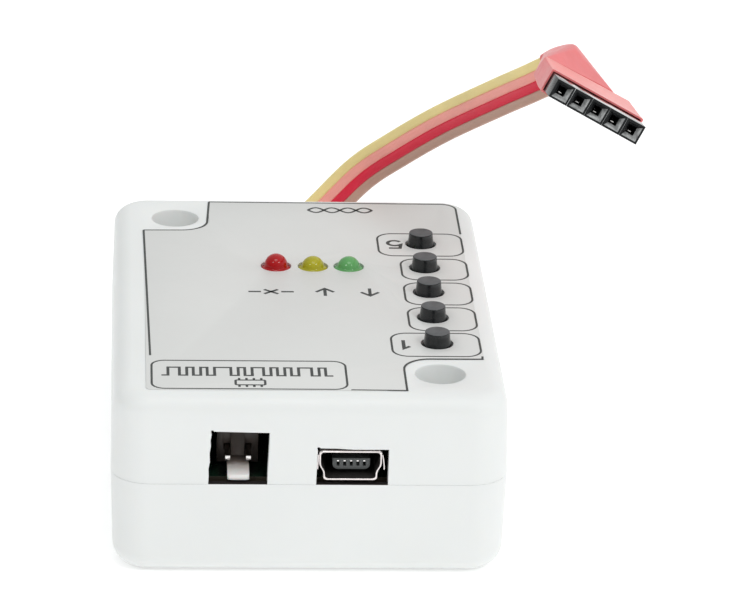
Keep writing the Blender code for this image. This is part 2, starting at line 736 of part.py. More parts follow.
# ---- assembly -------------------------------------------------------------------------------
def main():
    clear_scene()
    case_plastic = make_material("case_abs", (0.80, 0.81, 0.80), 0.42)
    label_film = make_material("label_film", (0.70, 0.71, 0.69), 0.5)
    black_plastic = make_material("black_plastic", (0.02, 0.02, 0.02), 0.28)
    grey_plastic = make_material("grey_plastic", (0.12, 0.13, 0.13), 0.5)
    nylon = make_material("nylon", (0.80, 0.79, 0.74), 0.45)
    laminate = make_material("board_laminate", (0.03, 0.14, 0.06), 0.45)
    steel = make_material("steel", (0.62, 0.62, 0.60), 0.3, 1.0)
    contact_metal = make_material("contact_metal", (0.80, 0.78, 0.72), 0.25, 1.0)
    ribbon_vinyl = make_material("ribbon_vinyl", (0.75, 0.35, 0.25), 0.45)
    sleeve_vinyl = make_material("sleeve_vinyl", (0.85, 0.35, 0.30), 0.38)
    lamp_colors = {"red": (0.55, 0.01, 0.01), "yellow": (0.55, 0.50, 0.02), "green": (0.12, 0.45, 0.12)}

    buttons = bpy.data.objects.new("buttons", None)
    bpy.context.scene.collection.objects.link(buttons)

    make_upper_shell(case_plastic)
    make_lower_shell(case_plastic)
    make_label(label_film)
    for index, place in enumerate(CASE_SCREWS, start=1):
        make_screw(f"case_screw_{index}", place, WELL_FLOOR + REST_GAP, 2.6, 4.0, steel)
    for index, place in enumerate(BOARD_SCREWS, start=1):
        make_screw(f"board_screw_{index}", place, BOARD_TOP + REST_GAP, 2.2, 4.5, steel)

    make_board(laminate)
    leaded_chip("microcontroller", (-10.0, -2.0), (12.8, 7.5, 2.4), 10.3, 1.27, 10, True, black_plastic)
    leaded_chip("line_driver", (-9.0, 15.5), (4.9, 3.9, 1.6), 6.0, 1.27, 4, False, black_plastic)
    leaded_chip("regulator", (4.0, -18.0), (6.5, 3.5, 1.7), 7.0, 2.3, 3, False, black_plastic)
    make_crystal((3.0, -8.0), steel)
    make_capacitor("capacitor_1", (-16.5, -15.0), steel)
    make_capacitor("capacitor_2", (-3.5, -19.5), steel)
    make_wire_header(black_plastic)
    make_usb_shell(contact_metal)
    make_usb_tongue(grey_plastic)
    make_header_wafer(nylon)
    make_header_pins(contact_metal)

    for color, shade in lamp_colors.items():
        make_lamp(color, make_material(f"lamp_{color}", shade, 0.15))
    make_buttons(black_plastic, grey_plastic, steel, buttons)

    make_ribbon(ribbon_vinyl)
    make_sleeve(sleeve_vinyl)
    make_strip(black_plastic)
    make_contacts(contact_metal)


main()
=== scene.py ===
"""Looks of the pocket USB microcontroller programmer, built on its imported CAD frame.

The pieces are drawn in millimetres in the part's own frame and turned into metres as each mesh
is made. +X is right, +Y is away from the wall with the sockets, +Z is up.
"""

import math

import bmesh
import bpy
from mathutils import Matrix, Vector


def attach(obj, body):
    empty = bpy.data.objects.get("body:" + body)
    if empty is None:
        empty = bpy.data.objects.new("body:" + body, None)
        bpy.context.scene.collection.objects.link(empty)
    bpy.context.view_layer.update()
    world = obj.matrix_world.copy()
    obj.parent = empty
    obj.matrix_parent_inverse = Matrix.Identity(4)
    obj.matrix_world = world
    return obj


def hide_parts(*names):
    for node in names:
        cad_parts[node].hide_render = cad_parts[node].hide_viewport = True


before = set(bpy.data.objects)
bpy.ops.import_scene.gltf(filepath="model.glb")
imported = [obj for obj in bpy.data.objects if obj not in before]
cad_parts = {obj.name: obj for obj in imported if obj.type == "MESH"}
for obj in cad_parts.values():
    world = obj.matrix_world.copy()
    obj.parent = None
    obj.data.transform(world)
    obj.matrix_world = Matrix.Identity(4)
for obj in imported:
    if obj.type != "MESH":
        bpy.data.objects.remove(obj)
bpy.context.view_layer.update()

MM = 0.001
BODY = "programmer"

# ---- dimensions shared with the CAD part ----------------------------------------------------
CASE_WIDTH = 48.6
CASE_LENGTH = 70.6
CASE_HEIGHT = 23.5
PARTING_HEIGHT = 12.3
DRAFT = 0.028
WALL = 2.0
SIDE_CORNER = 4.8
TOP_EDGE = 2.3
BOTTOM_EDGE = 2.8
SKIRT_DEPTH = 1.2
SKIRT_INSET = 1.3
REBATE_INSET = 1.0
PARTING_GAP = 0.012

CASE_SCREWS = ((16.0, -26.7), (-16.0, 26.7))
WELL_RADIUS = 3.05
WELL_FLOOR = 14.4
BOARD_SCREWS = ((-16.5, -27.3), (16.5, 27.3))
BOARD_BOTTOM = 10.7
BOARD_TOP = 12.3
PART_BASE = BOARD_TOP + 0.2

LABEL_LOW = 23.3
LABEL_TOP = 23.56

BUTTON_X = 16.2
BUTTON_YS = [-17.05 + 8.64 * k for k in range(5)]
BUTTON_TOP = 25.2
BUTTON_HOLE = 2.15
SWITCH_TOP = PART_BASE + 3.3

LAMP_Y = 9.1
LAMPS = {"red": (-3.1, 25.2), "yellow": (1.7, 24.9), "green": (6.35, 24.9)}
LAMP_HOLE = 2.0
LAMP_PLACES = [(x, LAMP_Y) for x, top in LAMPS.values()]
BUTTON_PLACES = [(BUTTON_X, y) for y in BUTTON_YS]

USB_X = 4.8
USB_FRONT = -35.0
USB_BACK = -26.0
USB_BASE = BOARD_TOP + 0.5

HEADER_X = -8.8
HEADER_PITCH = 2.54
HEADER_PIN = 0.64
HEADER_PIN_Z = 14.5
HEADER_PIN_TIP = -32.3

RIBBON_PITCH = 1.27
RIBBON_WIDTH = 4 * RIBBON_PITCH
RIBBON_ROUTE = (
    ((-1.5, 25.6, 13.55), (1.0, 0.0, 0.0)),
    ((-1.5, 30.0, 13.55), (1.0, 0.0, 0.0)),
    ((-1.5, 35.2, 13.55), (1.0, 0.0, 0.0)),
    ((-1.2, 39.2, 13.9), (0.98, -0.08, -0.15)),
    ((0.6, 42.2, 15.2), (0.88, -0.18, -0.42)),
    ((3.9, 43.6, 17.8), (0.74, -0.27, -0.61)),
    ((9.3, 43.0, 23.9), (0.66, -0.29, -0.69)),
    ((14.1, 39.8, 28.7), (0.53, -0.32, -0.78)),
    ((19.8, 34.7, 34.3), (0.44, -0.33, -0.83)),
    ((26.6, 26.2, 41.1), (0.39, -0.33, -0.86)),
    ((30.1, 21.5, 44.6), (0.39, -0.33, -0.86)),
    ((33.0, 18.4, 47.3), (0.39, -0.34, -0.86)),
)

STRIP_FRONT = (36.2, -4.8, 50.0)
STRIP_BACK = (-0.021, 0.9845, -0.174)
STRIP_ROW = (0.878, -0.065, -0.4735)
STRIP_WAYS = 5
STRIP_PITCH = 2.54
STRIP_HEIGHT = 2.54
STRIP_DEPTH = 8.5
# right of this line along the strip, the sleeve's back stays clear of its boxy end
SLEEVE_SHOULDER = 2.7
SLEEVE_ROUTE = (
    ((32.4, 19.0, 46.8), (0.39, -0.34, -0.86), (5.5, 1.4, 0.6)),
    ((33.7, 17.9, 47.8), (0.39, -0.34, -0.86), (6.0, 2.0, 0.9)),
    ((35.3, 16.4, 48.6), (0.46, -0.34, -0.82), (6.3, 2.5, 1.0)),
    ((35.9, 14.2, 48.9), (0.60, -0.32, -0.73), (6.9, 2.6, 0.9)),
    ((35.7, 11.4, 48.5), (0.76, -0.28, -0.58), (9.6, 2.8, 0.8)),
    ((35.6, 8.6, 48.4), (0.87, -0.10, -0.47), (12.8, 3.1, 0.4)),
)
# its boxy end on the strip: distance behind the strip's front, then width, thickness and corner
SLEEVE_END = ((9.0, 13.35, 3.2, 0.25), (5.3, 13.35, 3.2, 0.2))


# ---- materials ------------------------------------------------------------------------------
def blank_material(name):
    material = bpy.data.materials.new(name)
    material.use_nodes = True
    tree = material.node_tree
    return material, tree, tree.nodes["Principled BSDF"]


def dress(tree, shader, color, rough, relief):
    tree.links.new(color, shader.inputs["Base Color"])
    tree.links.new(rough, shader.inputs["Roughness"])
    tree.links.new(relief, shader.inputs["Normal"])


def own_millimetres(tree, stretch=(1.0, 1.0, 1.0)):
    """The piece's own coordinates in millimetres."""
    coords = tree.nodes.new("ShaderNodeTexCoord")
    mapping = tree.nodes.new("ShaderNodeMapping")
    mapping.inputs["Scale"].default_value = tuple(s / MM for s in stretch)
    tree.links.new(coords.outputs["Object"], mapping.inputs["Vector"])
    return mapping.outputs["Vector"]


def noise(tree, scale, detail=4.0, roughness=0.55, stretch=(1.0, 1.0, 1.0)):
    """Noise in the piece's own coordinates; scale is in features per millimetre."""
    texture = tree.nodes.new("ShaderNodeTexNoise")
    texture.inputs["Scale"].default_value = scale
    texture.inputs["Detail"].default_value = detail
    texture.inputs["Roughness"].default_value = roughness
    tree.links.new(own_millimetres(tree, stretch), texture.inputs["Vector"])
    return texture.outputs["Fac"]


def ramp(tree, value, stops, steps="LINEAR"):
    """Colour ramp through (position, colour) stops."""
    node = tree.nodes.new("ShaderNodeValToRGB")
    node.color_ramp.interpolation = steps
    elements = node.color_ramp.elements
    for index, (position, color) in enumerate(stops):
        element = elements[index] if index < 2 else elements.new(position)
        element.position = position
        element.color = (*color, 1.0)
    tree.links.new(value, node.inputs["Fac"])
    return node.outputs["Color"]


def spread(tree, value, low, high):
    """Maps the middle of a noise to the range low..high."""
    node = tree.nodes.new("ShaderNodeMapRange")
    node.inputs["From Min"].default_value = 0.3
    node.inputs["From Max"].default_value = 0.7
    node.inputs["To Min"].default_value = low
    node.inputs["To Max"].default_value = high
    tree.links.new(value, node.inputs["Value"])
    return node.outputs["Result"]


def tint(tree, value, color, amount):
    """Colour that drifts by amount around color with a noise."""
    darker = [c * (1.0 - amount) for c in color]
    lighter = [min(c * (1.0 + amount), 1.0) for c in color]
    return ramp(tree, value, ((0.3, darker), (0.7, lighter)))


def bump(tree, value, depth, after=None):
    """Surface relief of depth millimetres driven by a texture."""
    node = tree.nodes.new("ShaderNodeBump")
    node.inputs["Distance"].default_value = depth * MM
    tree.links.new(value, node.inputs["Height"])
    if after is not None:
        tree.links.new(after, node.inputs["Normal"])
    return node.outputs["Normal"]


def plastic(name, color, roughness, grain=4.0, depth=0.006, drift=0.02, patch=0.12, specular=0.5,
            coat=0.0, scatter=0.0, swell=0.0):
    """Moulded plastic: slow colour drift, roughness patches, fine grain and an optional swell."""
    material, tree, shader = blank_material(name)
    rough = spread(tree, noise(tree, patch * 6, 4.0), roughness * 0.88, roughness * 1.12)
    relief = bump(tree, noise(tree, grain, 5.0, 0.65), depth)
    if swell:
        relief = bump(tree, noise(tree, 0.35, 2.0), swell, relief)
    dress(tree, shader, tint(tree, noise(tree, patch, 3.0), color, drift), rough, relief)
    shader.inputs["Specular IOR Level"].default_value = specular
    shader.inputs["Coat Weight"].default_value = coat
    shader.inputs["Coat Roughness"].default_value = 0.08
    if scatter:
        shader.inputs["Subsurface Weight"].default_value = scatter
        shader.inputs["Subsurface Radius"].default_value = (1.0, 0.8, 0.6)
        shader.inputs["Subsurface Scale"].default_value = MM
    return material


def metal(name, color, roughness, stretch=(1.0, 1.0, 1.0), drift=0.05):
    """Plated or drawn metal with fine marks along one direction."""
    material, tree, shader = blank_material(name)
    shader.inputs["Metallic"].default_value = 1.0
    marks = noise(tree, 3.0, 5.0, 0.6, stretch)
    dress(tree, shader, tint(tree, noise(tree, 0.4, 3.0), color, drift),
          spread(tree, marks, roughness * 0.7, roughness * 1.3), bump(tree, marks, 0.002))
    return material


def board_material():
    """Solder mask over copper: darker ground, slightly raised lighter tracks and fine dust."""
    material, tree, shader = blank_material("board_mask")
    cells = tree.nodes.new("ShaderNodeTexVoronoi")
    cells.distance = "CHEBYCHEV"
    cells.feature = "F2"
    cells.inputs["Scale"].default_value = 0.55
    cells.inputs["Randomness"].default_value = 0.75
    tree.links.new(own_millimetres(tree), cells.inputs["Vector"])
    ground, copper = (0.004, 0.012, 0.008), (0.010, 0.032, 0.018)
    tracks = ramp(tree, cells.outputs["Distance"], ((0.0, ground), (0.62, copper)), "CONSTANT")
    specks = ((0.70, (0.0, 0.0, 0.0)), (0.74, (0.35, 0.33, 0.31)))
    mix = tree.nodes.new("ShaderNodeMix")
    mix.data_type = "RGBA"
    mix.blend_type = "ADD"
    mix.inputs["Factor"].default_value = 0.6
    tree.links.new(tracks, mix.inputs["A"])
    tree.links.new(ramp(tree, noise(tree, 2.2, 6.0, 0.7), specks), mix.inputs["B"])
    relief = bump(tree, noise(tree, 3.0, 4.0), 0.01, bump(tree, tracks, 0.03))
    dress(tree, shader, mix.outputs["Result"], spread(tree, noise(tree, 0.8, 3.0), 0.25, 0.4), relief)
    return material


def lamp_material(name, color):
    """Tinted, slightly milky epoxy with a glossy skin."""
    material, tree, shader = blank_material(name)
    dress(tree, shader, tint(tree, noise(tree, 0.5, 2.0), color, 0.08),
          spread(tree, noise(tree, 1.5, 3.0), 0.04, 0.07), bump(tree, noise(tree, 0.9, 2.0), 0.002))
    shader.inputs["Specular IOR Level"].default_value = 0.32
    shader.inputs["Coat Weight"].default_value = 0.12
    shader.inputs["Coat Roughness"].default_value = 0.05
    shader.inputs["Subsurface Weight"].default_value = 0.05
    shader.inputs["Subsurface Radius"].default_value = (1.0, 1.0, 1.0)
    shader.inputs["Subsurface Scale"].default_value = 0.6 * MM
    return material


def nylon_with_painted_shade():
    """Natural nylon with painted shade: light at the free end of the tongue, darkening to brown towards the
    pins, deeper in the window where shade falls.
    """
    material, tree, shader = blank_material("nylon_painted_shade")
    coords = tree.nodes.new("ShaderNodeTexCoord")
    axes = tree.nodes.new("ShaderNodeSeparateXYZ")
    tree.links.new(coords.outputs["Object"], axes.inputs["Vector"])
    depth = tree.nodes.new("ShaderNodeMapRange")
    depth.inputs["From Min"].default_value = -34.9 * MM
    depth.inputs["From Max"].default_value = -28.8 * MM
    tree.links.new(axes.outputs["Y"], depth.inputs["Value"])
    wander = tree.nodes.new("ShaderNodeMath")
    wander.operation = "MULTIPLY_ADD"
    wander.inputs[1].default_value = 0.16
    tree.links.new(noise(tree, 1.2, 4.0), wander.inputs[0])
    tree.links.new(depth.outputs["Result"], wander.inputs[2])
    # painted shade: the colour darkens along Y, deeper into the window
    painted_shade_ramp = ramp(tree, wander.outputs["Value"],
                 ((0.12, (0.80, 0.77, 0.75)), (0.42, (0.62, 0.57, 0.54)), (0.60, (0.26, 0.21, 0.19)),
                  (0.85, (0.12, 0.09, 0.075)), (1.0, (0.085, 0.065, 0.055))))
    dress(tree, shader, painted_shade_ramp, spread(tree, noise(tree, 1.0, 3.0), 0.35, 0.5),
          bump(tree, noise(tree, 1.6, 4.0), 0.02))
    shader.inputs["Subsurface Weight"].default_value = 0.15
    shader.inputs["Subsurface Scale"].default_value = 0.5 * MM
    return material


def vinyl(name, color, roughness=0.38):
    return plastic(name, color, roughness, grain=2.5, depth=0.008, drift=0.04, patch=0.25, scatter=0.15)


MATERIALS = {
    "case": plastic("case_abs", (0.80, 0.815, 0.805), 0.42, grain=5.0, depth=0.004, drift=0.012,
                    patch=0.05, scatter=0.08),
    # near black for the inner faces of the case, the parting gap and the inside of the USB shield: painted
    # shade
    "inside": plastic("case_inside_painted_shade", (0.016, 0.013, 0.012), 0.6, grain=2.0, depth=0.02, drift=0.3),
    "label": plastic("label_film", (0.695, 0.70, 0.685), 0.52, grain=6.0, depth=0.003, drift=0.012,
                     patch=0.06, specular=0.3),
    "ink": plastic("print_ink", (0.028, 0.032, 0.030), 0.5, grain=8.0, depth=0.003, drift=0.25, patch=1.0),
    "button": plastic("button_gloss", (0.008, 0.009, 0.010), 0.2, grain=3.0, depth=0.003, drift=0.1),
    # grey for the flat tops of the black buttons: painted reflection of the bright sky
    "button_top_painted_reflection": plastic("button_top_painted_reflection", (0.098, 0.103, 0.107), 0.55, grain=2.5, depth=0.02, drift=0.2,
                          patch=0.9, specular=0.3),
    "strip": plastic("strip_black", (0.016, 0.018, 0.019), 0.14, grain=5.0, depth=0.003, drift=0.2,
                     specular=0.9, coat=0.8),
    "strip_face": plastic("strip_face", (0.010, 0.011, 0.012), 0.42, grain=5.0, depth=0.006, drift=0.3,
                          patch=0.8, specular=0.2),
    "strip_end": plastic("strip_end", (0.016, 0.018, 0.019), 0.22, grain=5.0, depth=0.004, drift=0.2,
                         specular=0.45),
    # light grey standing in for the light reflected by the glossy black funnel faces and seam: painted
    # reflection
    "funnel": plastic("strip_funnel_painted_reflection", (0.42, 0.43, 0.43), 0.5, grain=3.0, depth=0.05, drift=0.45,
                      patch=1.5),
    "black": plastic("moulded_black", (0.02, 0.02, 0.021), 0.5, grain=4.0, depth=0.01, drift=0.15),
    "grey": plastic("moulded_grey", (0.085, 0.09, 0.09), 0.45, grain=4.0, depth=0.006, drift=0.06),
    "nylon": nylon_with_painted_shade(),
    "board": board_material(),
    "board_edge": plastic("board_edge", (0.05, 0.04, 0.025), 0.7, grain=3.0, depth=0.03, drift=0.3,
                          patch=0.8),
    "steel": metal("zinc_steel", (0.60, 0.61, 0.60), 0.3),
    "tin": metal("tin_plate", (0.84, 0.82, 0.80), 0.24, (1.0, 0.3, 1.0)),
    "shield": metal("socket_shield", (0.80, 0.74, 0.73), 0.28, (0.3, 1.0, 1.0), drift=0.12),
    "aluminium": metal("can_aluminium", (0.78, 0.78, 0.79), 0.3, (1.0, 1.0, 0.15)),
    # dark tin for the header pins behind their tips: painted shade inside the window
    "tin_painted_shade": metal("tin_painted_shade", (0.22, 0.20, 0.18), 0.4, drift=0.15),
    "lamp_red": lamp_material("epoxy_red", (0.40, 0.002, 0.004)),
    "lamp_yellow": lamp_material("epoxy_yellow", (0.39, 0.36, 0.012)),
    "lamp_green": lamp_material("epoxy_green", (0.11, 0.35, 0.11)),
    "wire_yellow": vinyl("vinyl_yellow", (0.86, 0.72, 0.32)),
    "wire_orange": vinyl("vinyl_orange", (0.92, 0.38, 0.33)),
    "wire_red": vinyl("vinyl_red", (0.72, 0.012, 0.05)),
    "wire_brown": vinyl("vinyl_brown", (0.52, 0.32, 0.25)),
    "sleeve": plastic("shrink_vinyl", (0.80, 0.19, 0.195), 0.36, grain=1.6, depth=0.015, drift=0.05,
                      patch=0.2, scatter=0.1, swell=0.12),
    # lighter, paler red for the sleeve's upward faces over the strip: painted sheen
    "sleeve_painted_sheen": plastic("shrink_vinyl_painted_sheen", (0.92, 0.31, 0.29), 0.34, grain=1.6, depth=0.015,
                            drift=0.06, patch=0.3, scatter=0.1, swell=0.08),
}


# ---- shape tools ----------------------------------------------------------------------------
def to_mesh(name, bm):
    bmesh.ops.recalc_face_normals(bm, faces=bm.faces)
    bmesh.ops.scale(bm, vec=(MM, MM, MM), verts=bm.verts)
    mesh = bpy.data.meshes.new(name)
    bm.to_mesh(mesh)
    bm.free()
    return mesh


def loft(rings, capped=True, finishes=None):
    """Skins equal rings of points; finishes gives a material index for each point of a ring."""
    bm = bmesh.new()
    rows = [[bm.verts.new(point) for point in ring] for ring in rings]
    for lower, upper in zip(rows, rows[1:]):
        for i in range(len(lower)):
            j = (i + 1) % len(lower)
            face = bm.faces.new((lower[i], lower[j], upper[j], upper[i]))
            if finishes:
                face.material_index = finishes[i]
    if capped:
        bm.faces.new(list(reversed(rows[0])))
        bm.faces.new(rows[-1])
    return to_mesh("loft", bm)


def prism(outline, low, high, axis="Z"):
    """Extrudes a flat outline along an axis; its points give the two other coordinates."""
    spot = "XYZ".index(axis)
    return loft([[(*point[:spot], level, *point[spot:]) for point in outline] for level in (low, high)])


def block(x0, x1, y0, y1, z0, z1):
    return prism(((x0, y0), (x1, y0), (x1, y1), (x0, y1)), z0, z1)


def turned(profile, sides=48):
    """Turns (radius, height) points about Z; the first and last points lie on the axis."""
    bm = bmesh.new()
    ends = [bm.verts.new((0.0, 0.0, profile[0][1])), bm.verts.new((0.0, 0.0, profile[-1][1]))]
    rows = []
    for radius, height in profile[1:-1]:
        turns = [2 * math.pi * k / sides for k in range(sides)]
        rows.append([bm.verts.new((radius * math.cos(t), radius * math.sin(t), height)) for t in turns])
    for k in range(sides):
        n = (k + 1) % sides
        bm.faces.new((ends[0], rows[0][k], rows[0][n]))
        bm.faces.new((ends[1], rows[-1][n], rows[-1][k]))
        for upper, lower in zip(rows, rows[1:]):
            bm.faces.new((upper[k], lower[k], lower[n], upper[n]))
    return to_mesh("turned", bm)


def rod(radius, low, high, sides=48):
    return turned(((0.0, high), (radius, high), (radius, low), (0.0, low)), sides)


def arc(center, radius, start, end, steps=12):
    """Points along an arc, angles in degrees."""
    angles = [math.radians(start + (end - start) * k / steps) for k in range(steps + 1)]
    return [(center[0] + radius * math.cos(a), center[1] + radius * math.sin(a)) for a in angles]


def rounded_outline(half_width, half_length, radius, steps=12):
    points = []
    for index, (sx, sy) in enumerate(((1, 1), (-1, 1), (-1, -1), (1, -1))):
        for step in range(steps + 1):
            angle = math.pi / 2 * (index + step / steps)
            points.append((sx * (half_width - radius) + radius * math.cos(angle),
                           sy * (half_length - radius) + radius * math.sin(angle)))
    return points


def case_ring(inset, height):
    radius = max(SIDE_CORNER - inset, 0.8)
    outline = rounded_outline(CASE_WIDTH / 2 - inset, CASE_LENGTH / 2 - inset, radius)
    return [(x, y, height) for x, y in outline]


def edge_rings(radius, steps=9):
    angles = [math.pi / 2 * k / steps for k in range(steps + 1)]
    return [(radius * (1 - math.cos(a)), radius * math.sin(a)) for a in angles]


def new_object(name, mesh, at=(0.0, 0.0, 0.0)):
    thing = bpy.data.objects.new(name, mesh)
    bpy.context.scene.collection.objects.link(thing)
    thing.location = Vector(at) * MM
    return thing


def applied(thing):
    """Bakes an object's modifiers into its mesh."""
    bpy.context.view_layer.update()
    depsgraph = bpy.context.evaluated_depsgraph_get()
    thing.data = bpy.data.meshes.new_from_object(thing.evaluated_get(depsgraph))
    thing.modifiers.clear()


def combine(target, tool_mesh, operation="DIFFERENCE", at=(0.0, 0.0, 0.0), turn=None):
    tool = new_object("tool", tool_mesh, at)
    if turn is not None:
        tool.matrix_world = turn
    step = target.modifiers.new("shape", "BOOLEAN")
    step.operation = operation
    step.solver = "EXACT"
    step.object = tool
    applied(target)
    bpy.data.objects.remove(tool, do_unlink=True)


def drill(target, places, radius, low, high, sides=48):
    for x, y in places:
        combine(target, rod(radius, low, high, sides), at=(x, y, 0.0))


def soften(thing, width, segments=2, angle=30.0):
    """Rounds the sharp edges of a piece by width millimetres."""
    step = thing.modifiers.new("edges", "BEVEL")
    step.width = width * MM
    step.segments = segments
    step.limit_method = "ANGLE"
    step.angle_limit = math.radians(angle)
    applied(thing)


def finish_piece(thing, materials, stands_for=(), body=BODY, smooth=40.0):
    """Gives a piece its materials and shading, and sets what it rides on and stands for."""
    names = [materials] if isinstance(materials, str) else materials
    if not thing.data.materials:
        for name in names:
            thing.data.materials.append(MATERIALS[name])
    thing.data.shade_smooth()
    thing.data.set_sharp_from_angle(angle=math.radians(smooth))
    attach(thing, body)
    if stands_for:
        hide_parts(*([stands_for] if isinstance(stands_for, str) else stands_for))
    return thing


def between(points, position):
    """Smooth value at a fractional index along a list of vectors (Catmull-Rom)."""
    last = len(points) - 1
    index = min(int(position), last - 1)
    t = position - index
    before = points[max(index - 1, 0)]
    start, end = points[index], points[index + 1]
    after = points[min(index + 2, last)]
    return 0.5 * (2 * start + (end - before) * t + (2 * before - 5 * start + 4 * end - after) * t * t
                  + (3 * start - before - 3 * end + after) * t ** 3)


def stations(route, count):
    """Middle, width direction and face direction at even steps along a route."""
    middles = [Vector(step[0]) for step in route]
    widths = [Vector(step[1]) for step in route]
    last = len(route) - 1
    found = []
    for k in range(count):
        position = last * k / (count - 1)
        middle = between(middles, position)
        ahead = between(middles, min(position + 0.02, last))
        behind = between(middles, max(position - 0.02, 0.0))
        forward = (ahead - behind).normalized()
        width = between(widths, position)
        width = (width - width.dot(forward) * forward).normalized()
        found.append((middle, width, width.cross(forward)))
    return found


def strip_frame():
    """Matrix from the strip's own axes (row, depth, height) to the object's, in metres."""
    depth = Vector(STRIP_BACK).normalized()
    row = Vector(STRIP_ROW)
    row = (row - row.dot(depth) * depth).normalized()
    height = row.cross(depth)
    turn = Matrix((row, depth, height)).transposed().to_4x4()
    return Matrix.Translation(Vector(STRIP_FRONT) * MM) @ turn


# ---- camera, light and floor ----------------------------------------------------------------
CAMERA_PLACE = (-24.13, -540.92, 237.60)
CAMERA_AIM = (9.336, 0.0, 22.512)
CAMERA_ROLL = 1.732
CAMERA_LENS = 218.5


def make_camera():
    data = bpy.data.cameras.new("camera")
    data.lens = CAMERA_LENS
    data.sensor_width = 36.0
    data.clip_start = 0.05
    data.clip_end = 20.0
    camera = new_object("camera", data, CAMERA_PLACE)
    turn = (Vector(CAMERA_AIM) - Vector(CAMERA_PLACE)).to_track_quat("-Z", "Y").to_matrix()
    camera.rotation_euler = (turn @ Matrix.Rotation(math.radians(CAMERA_ROLL), 3, "Z")).to_euler()
    bpy.context.scene.camera = camera


def make_light(name, place, aim, size, power):
    data = bpy.data.lights.new(name, "AREA")
    data.shape = "RECTANGLE"
    data.size = size[0] * MM
    data.size_y = size[1] * MM
    data.energy = power
    light = new_object(name, data, place)
    light.rotation_euler = (Vector(aim) - Vector(place)).to_track_quat("-Z", "Y").to_euler()


def make_studio():
    scene = bpy.context.scene
    scene.view_settings.view_transform = "Standard"
    world = bpy.data.worlds.new("studio")
    scene.world = world
    world.use_nodes = True
    tree = world.node_tree
    sky = tree.nodes["Background"]
    sky.inputs["Color"].default_value = (0.985, 1.0, 1.0, 1.0)
    # the tent is brightest above, at the right and behind, and dimmer at the left and in front
    direction = tree.nodes.new("ShaderNodeTexCoord")
    facing = tree.nodes.new("ShaderNodeVectorMath")
    facing.operation = "DOT_PRODUCT"
    facing.inputs[1].default_value = (0.58, 0.42, 0.70)
    glow = tree.nodes.new("ShaderNodeMapRange")
    glow.inputs["From Min"].default_value = -1.0
    glow.inputs["To Min"].default_value = 0.10
    glow.inputs["To Max"].default_value = 0.98
    tree.links.new(direction.outputs["Generated"], facing.inputs[0])
    tree.links.new(facing.outputs["Value"], glow.inputs["Value"])
    tree.links.new(glow.outputs["Result"], sky.inputs["Strength"])
    aim = (0.0, 0.0, 20.0)
    make_light("box_left", (-520.0, -600.0, 720.0), aim, (160.0, 160.0), 0.9)
    make_light("box_right", (500.0, -620.0, 720.0), aim, (160.0, 160.0), 1.3)
    make_light("box_top", (0.0, -350.0, 1000.0), aim, (500.0, 400.0), 1.7)

    material, tree, shader = blank_material("white_floor")
    tree.links.new(tint(tree, noise(tree, 0.02, 2.0), (0.93, 0.93, 0.93), 0.005),
                   shader.inputs["Base Color"])
    shader.inputs["Roughness"].default_value = 0.8
    shader.inputs["Emission Color"].default_value = (1.0, 1.0, 1.0, 1.0)
    shader.inputs["Emission Strength"].default_value = 0.28
    floor = new_object("floor", prism(arc((0.0, 0.0), 2000.0, 0, 360, 64)[:-1], -5.0, -0.02))
    floor.data.materials.append(material)


# ---- ribbon, sleeve and socket strip --------------------------------------------------------
WIRES = ("wire_yellow", "wire_orange", "wire_red", "wire_brown")
LOBE_STEPS = 10


def swept(station, outline):
    middle, width, face = station
    return [middle + width * across + face * through for across, through in outline]


def ribbon_outline():
    """Four round wires moulded side by side, with a thin web between them."""
    crest, web = 0.45, 0.27
    upper, finishes = [], []
    for wire in range(len(WIRES)):
        start = -RIBBON_WIDTH / 2 + wire * RIBBON_PITCH
        for step in range(LOBE_STEPS):
            share = step / LOBE_STEPS
            lobe = max(1.0 - abs(2 * share - 1) ** 2.4, 0.0) ** 0.5
            floor = 0.0 if wire == 0 and step == 0 else web
            upper.append((start + share * RIBBON_PITCH, floor + (crest - floor) * lobe))
            finishes.append(wire)
    count = len(upper)
    lower = [(-across, -through) for across, through in upper]
    mirrored = [finishes[count - 1 - k] for k in range(count)]
    return upper + lower, finishes + mirrored


def make_ribbon():
    outline, finishes = ribbon_outline()
    rings = [swept(station, outline) for station in stations(RIBBON_ROUTE, 140)]
    ribbon = new_object("ribbon", loft(rings, finishes=finishes))
    finish_piece(ribbon, WIRES, "ribbon_cable", smooth=60.0)
    return ribbon


def sleeve_rings(count=90, steps=8):
    sizes = [Vector(step[2]) for step in SLEEVE_ROUTE]
    last = len(SLEEVE_ROUTE) - 1
    rings = []
    for k, station in enumerate(stations(SLEEVE_ROUTE, count)):
        wide, thick, corner = between(sizes, last * k / (count - 1))
        rings.append(swept(station, rounded_outline(wide / 2, thick / 2, corner, steps)))
    return rings


def end_rings(steps=8):
    turn = strip_frame()
    rings = []
    for depth, wide, thick, corner in SLEEVE_END:
        outline = rounded_outline(wide / 2, thick / 2, corner, steps)
        rings.append([turn @ Vector((x * MM, depth * MM, -z * MM)) / MM for x, z in outline])
    return rings


def taut(rings):
    """Film drawn tight around all the rings."""
    bm = bmesh.new()
    for ring in rings:
        for point in ring:
            bm.verts.new(point)
    found = bmesh.ops.convex_hull(bm, input=bm.verts)
    loose = [item for item in found["geom_interior"] if isinstance(item, bmesh.types.BMVert)]
    bmesh.ops.delete(bm, geom=loose, context="VERTS")
    return to_mesh("taut", bm)


def strip_box(grow, start, end):
    half_row = STRIP_WAYS * STRIP_PITCH / 2 + grow
    half_height = STRIP_HEIGHT / 2 + grow
    return block(-half_row, half_row, start, end, -half_height, half_height)


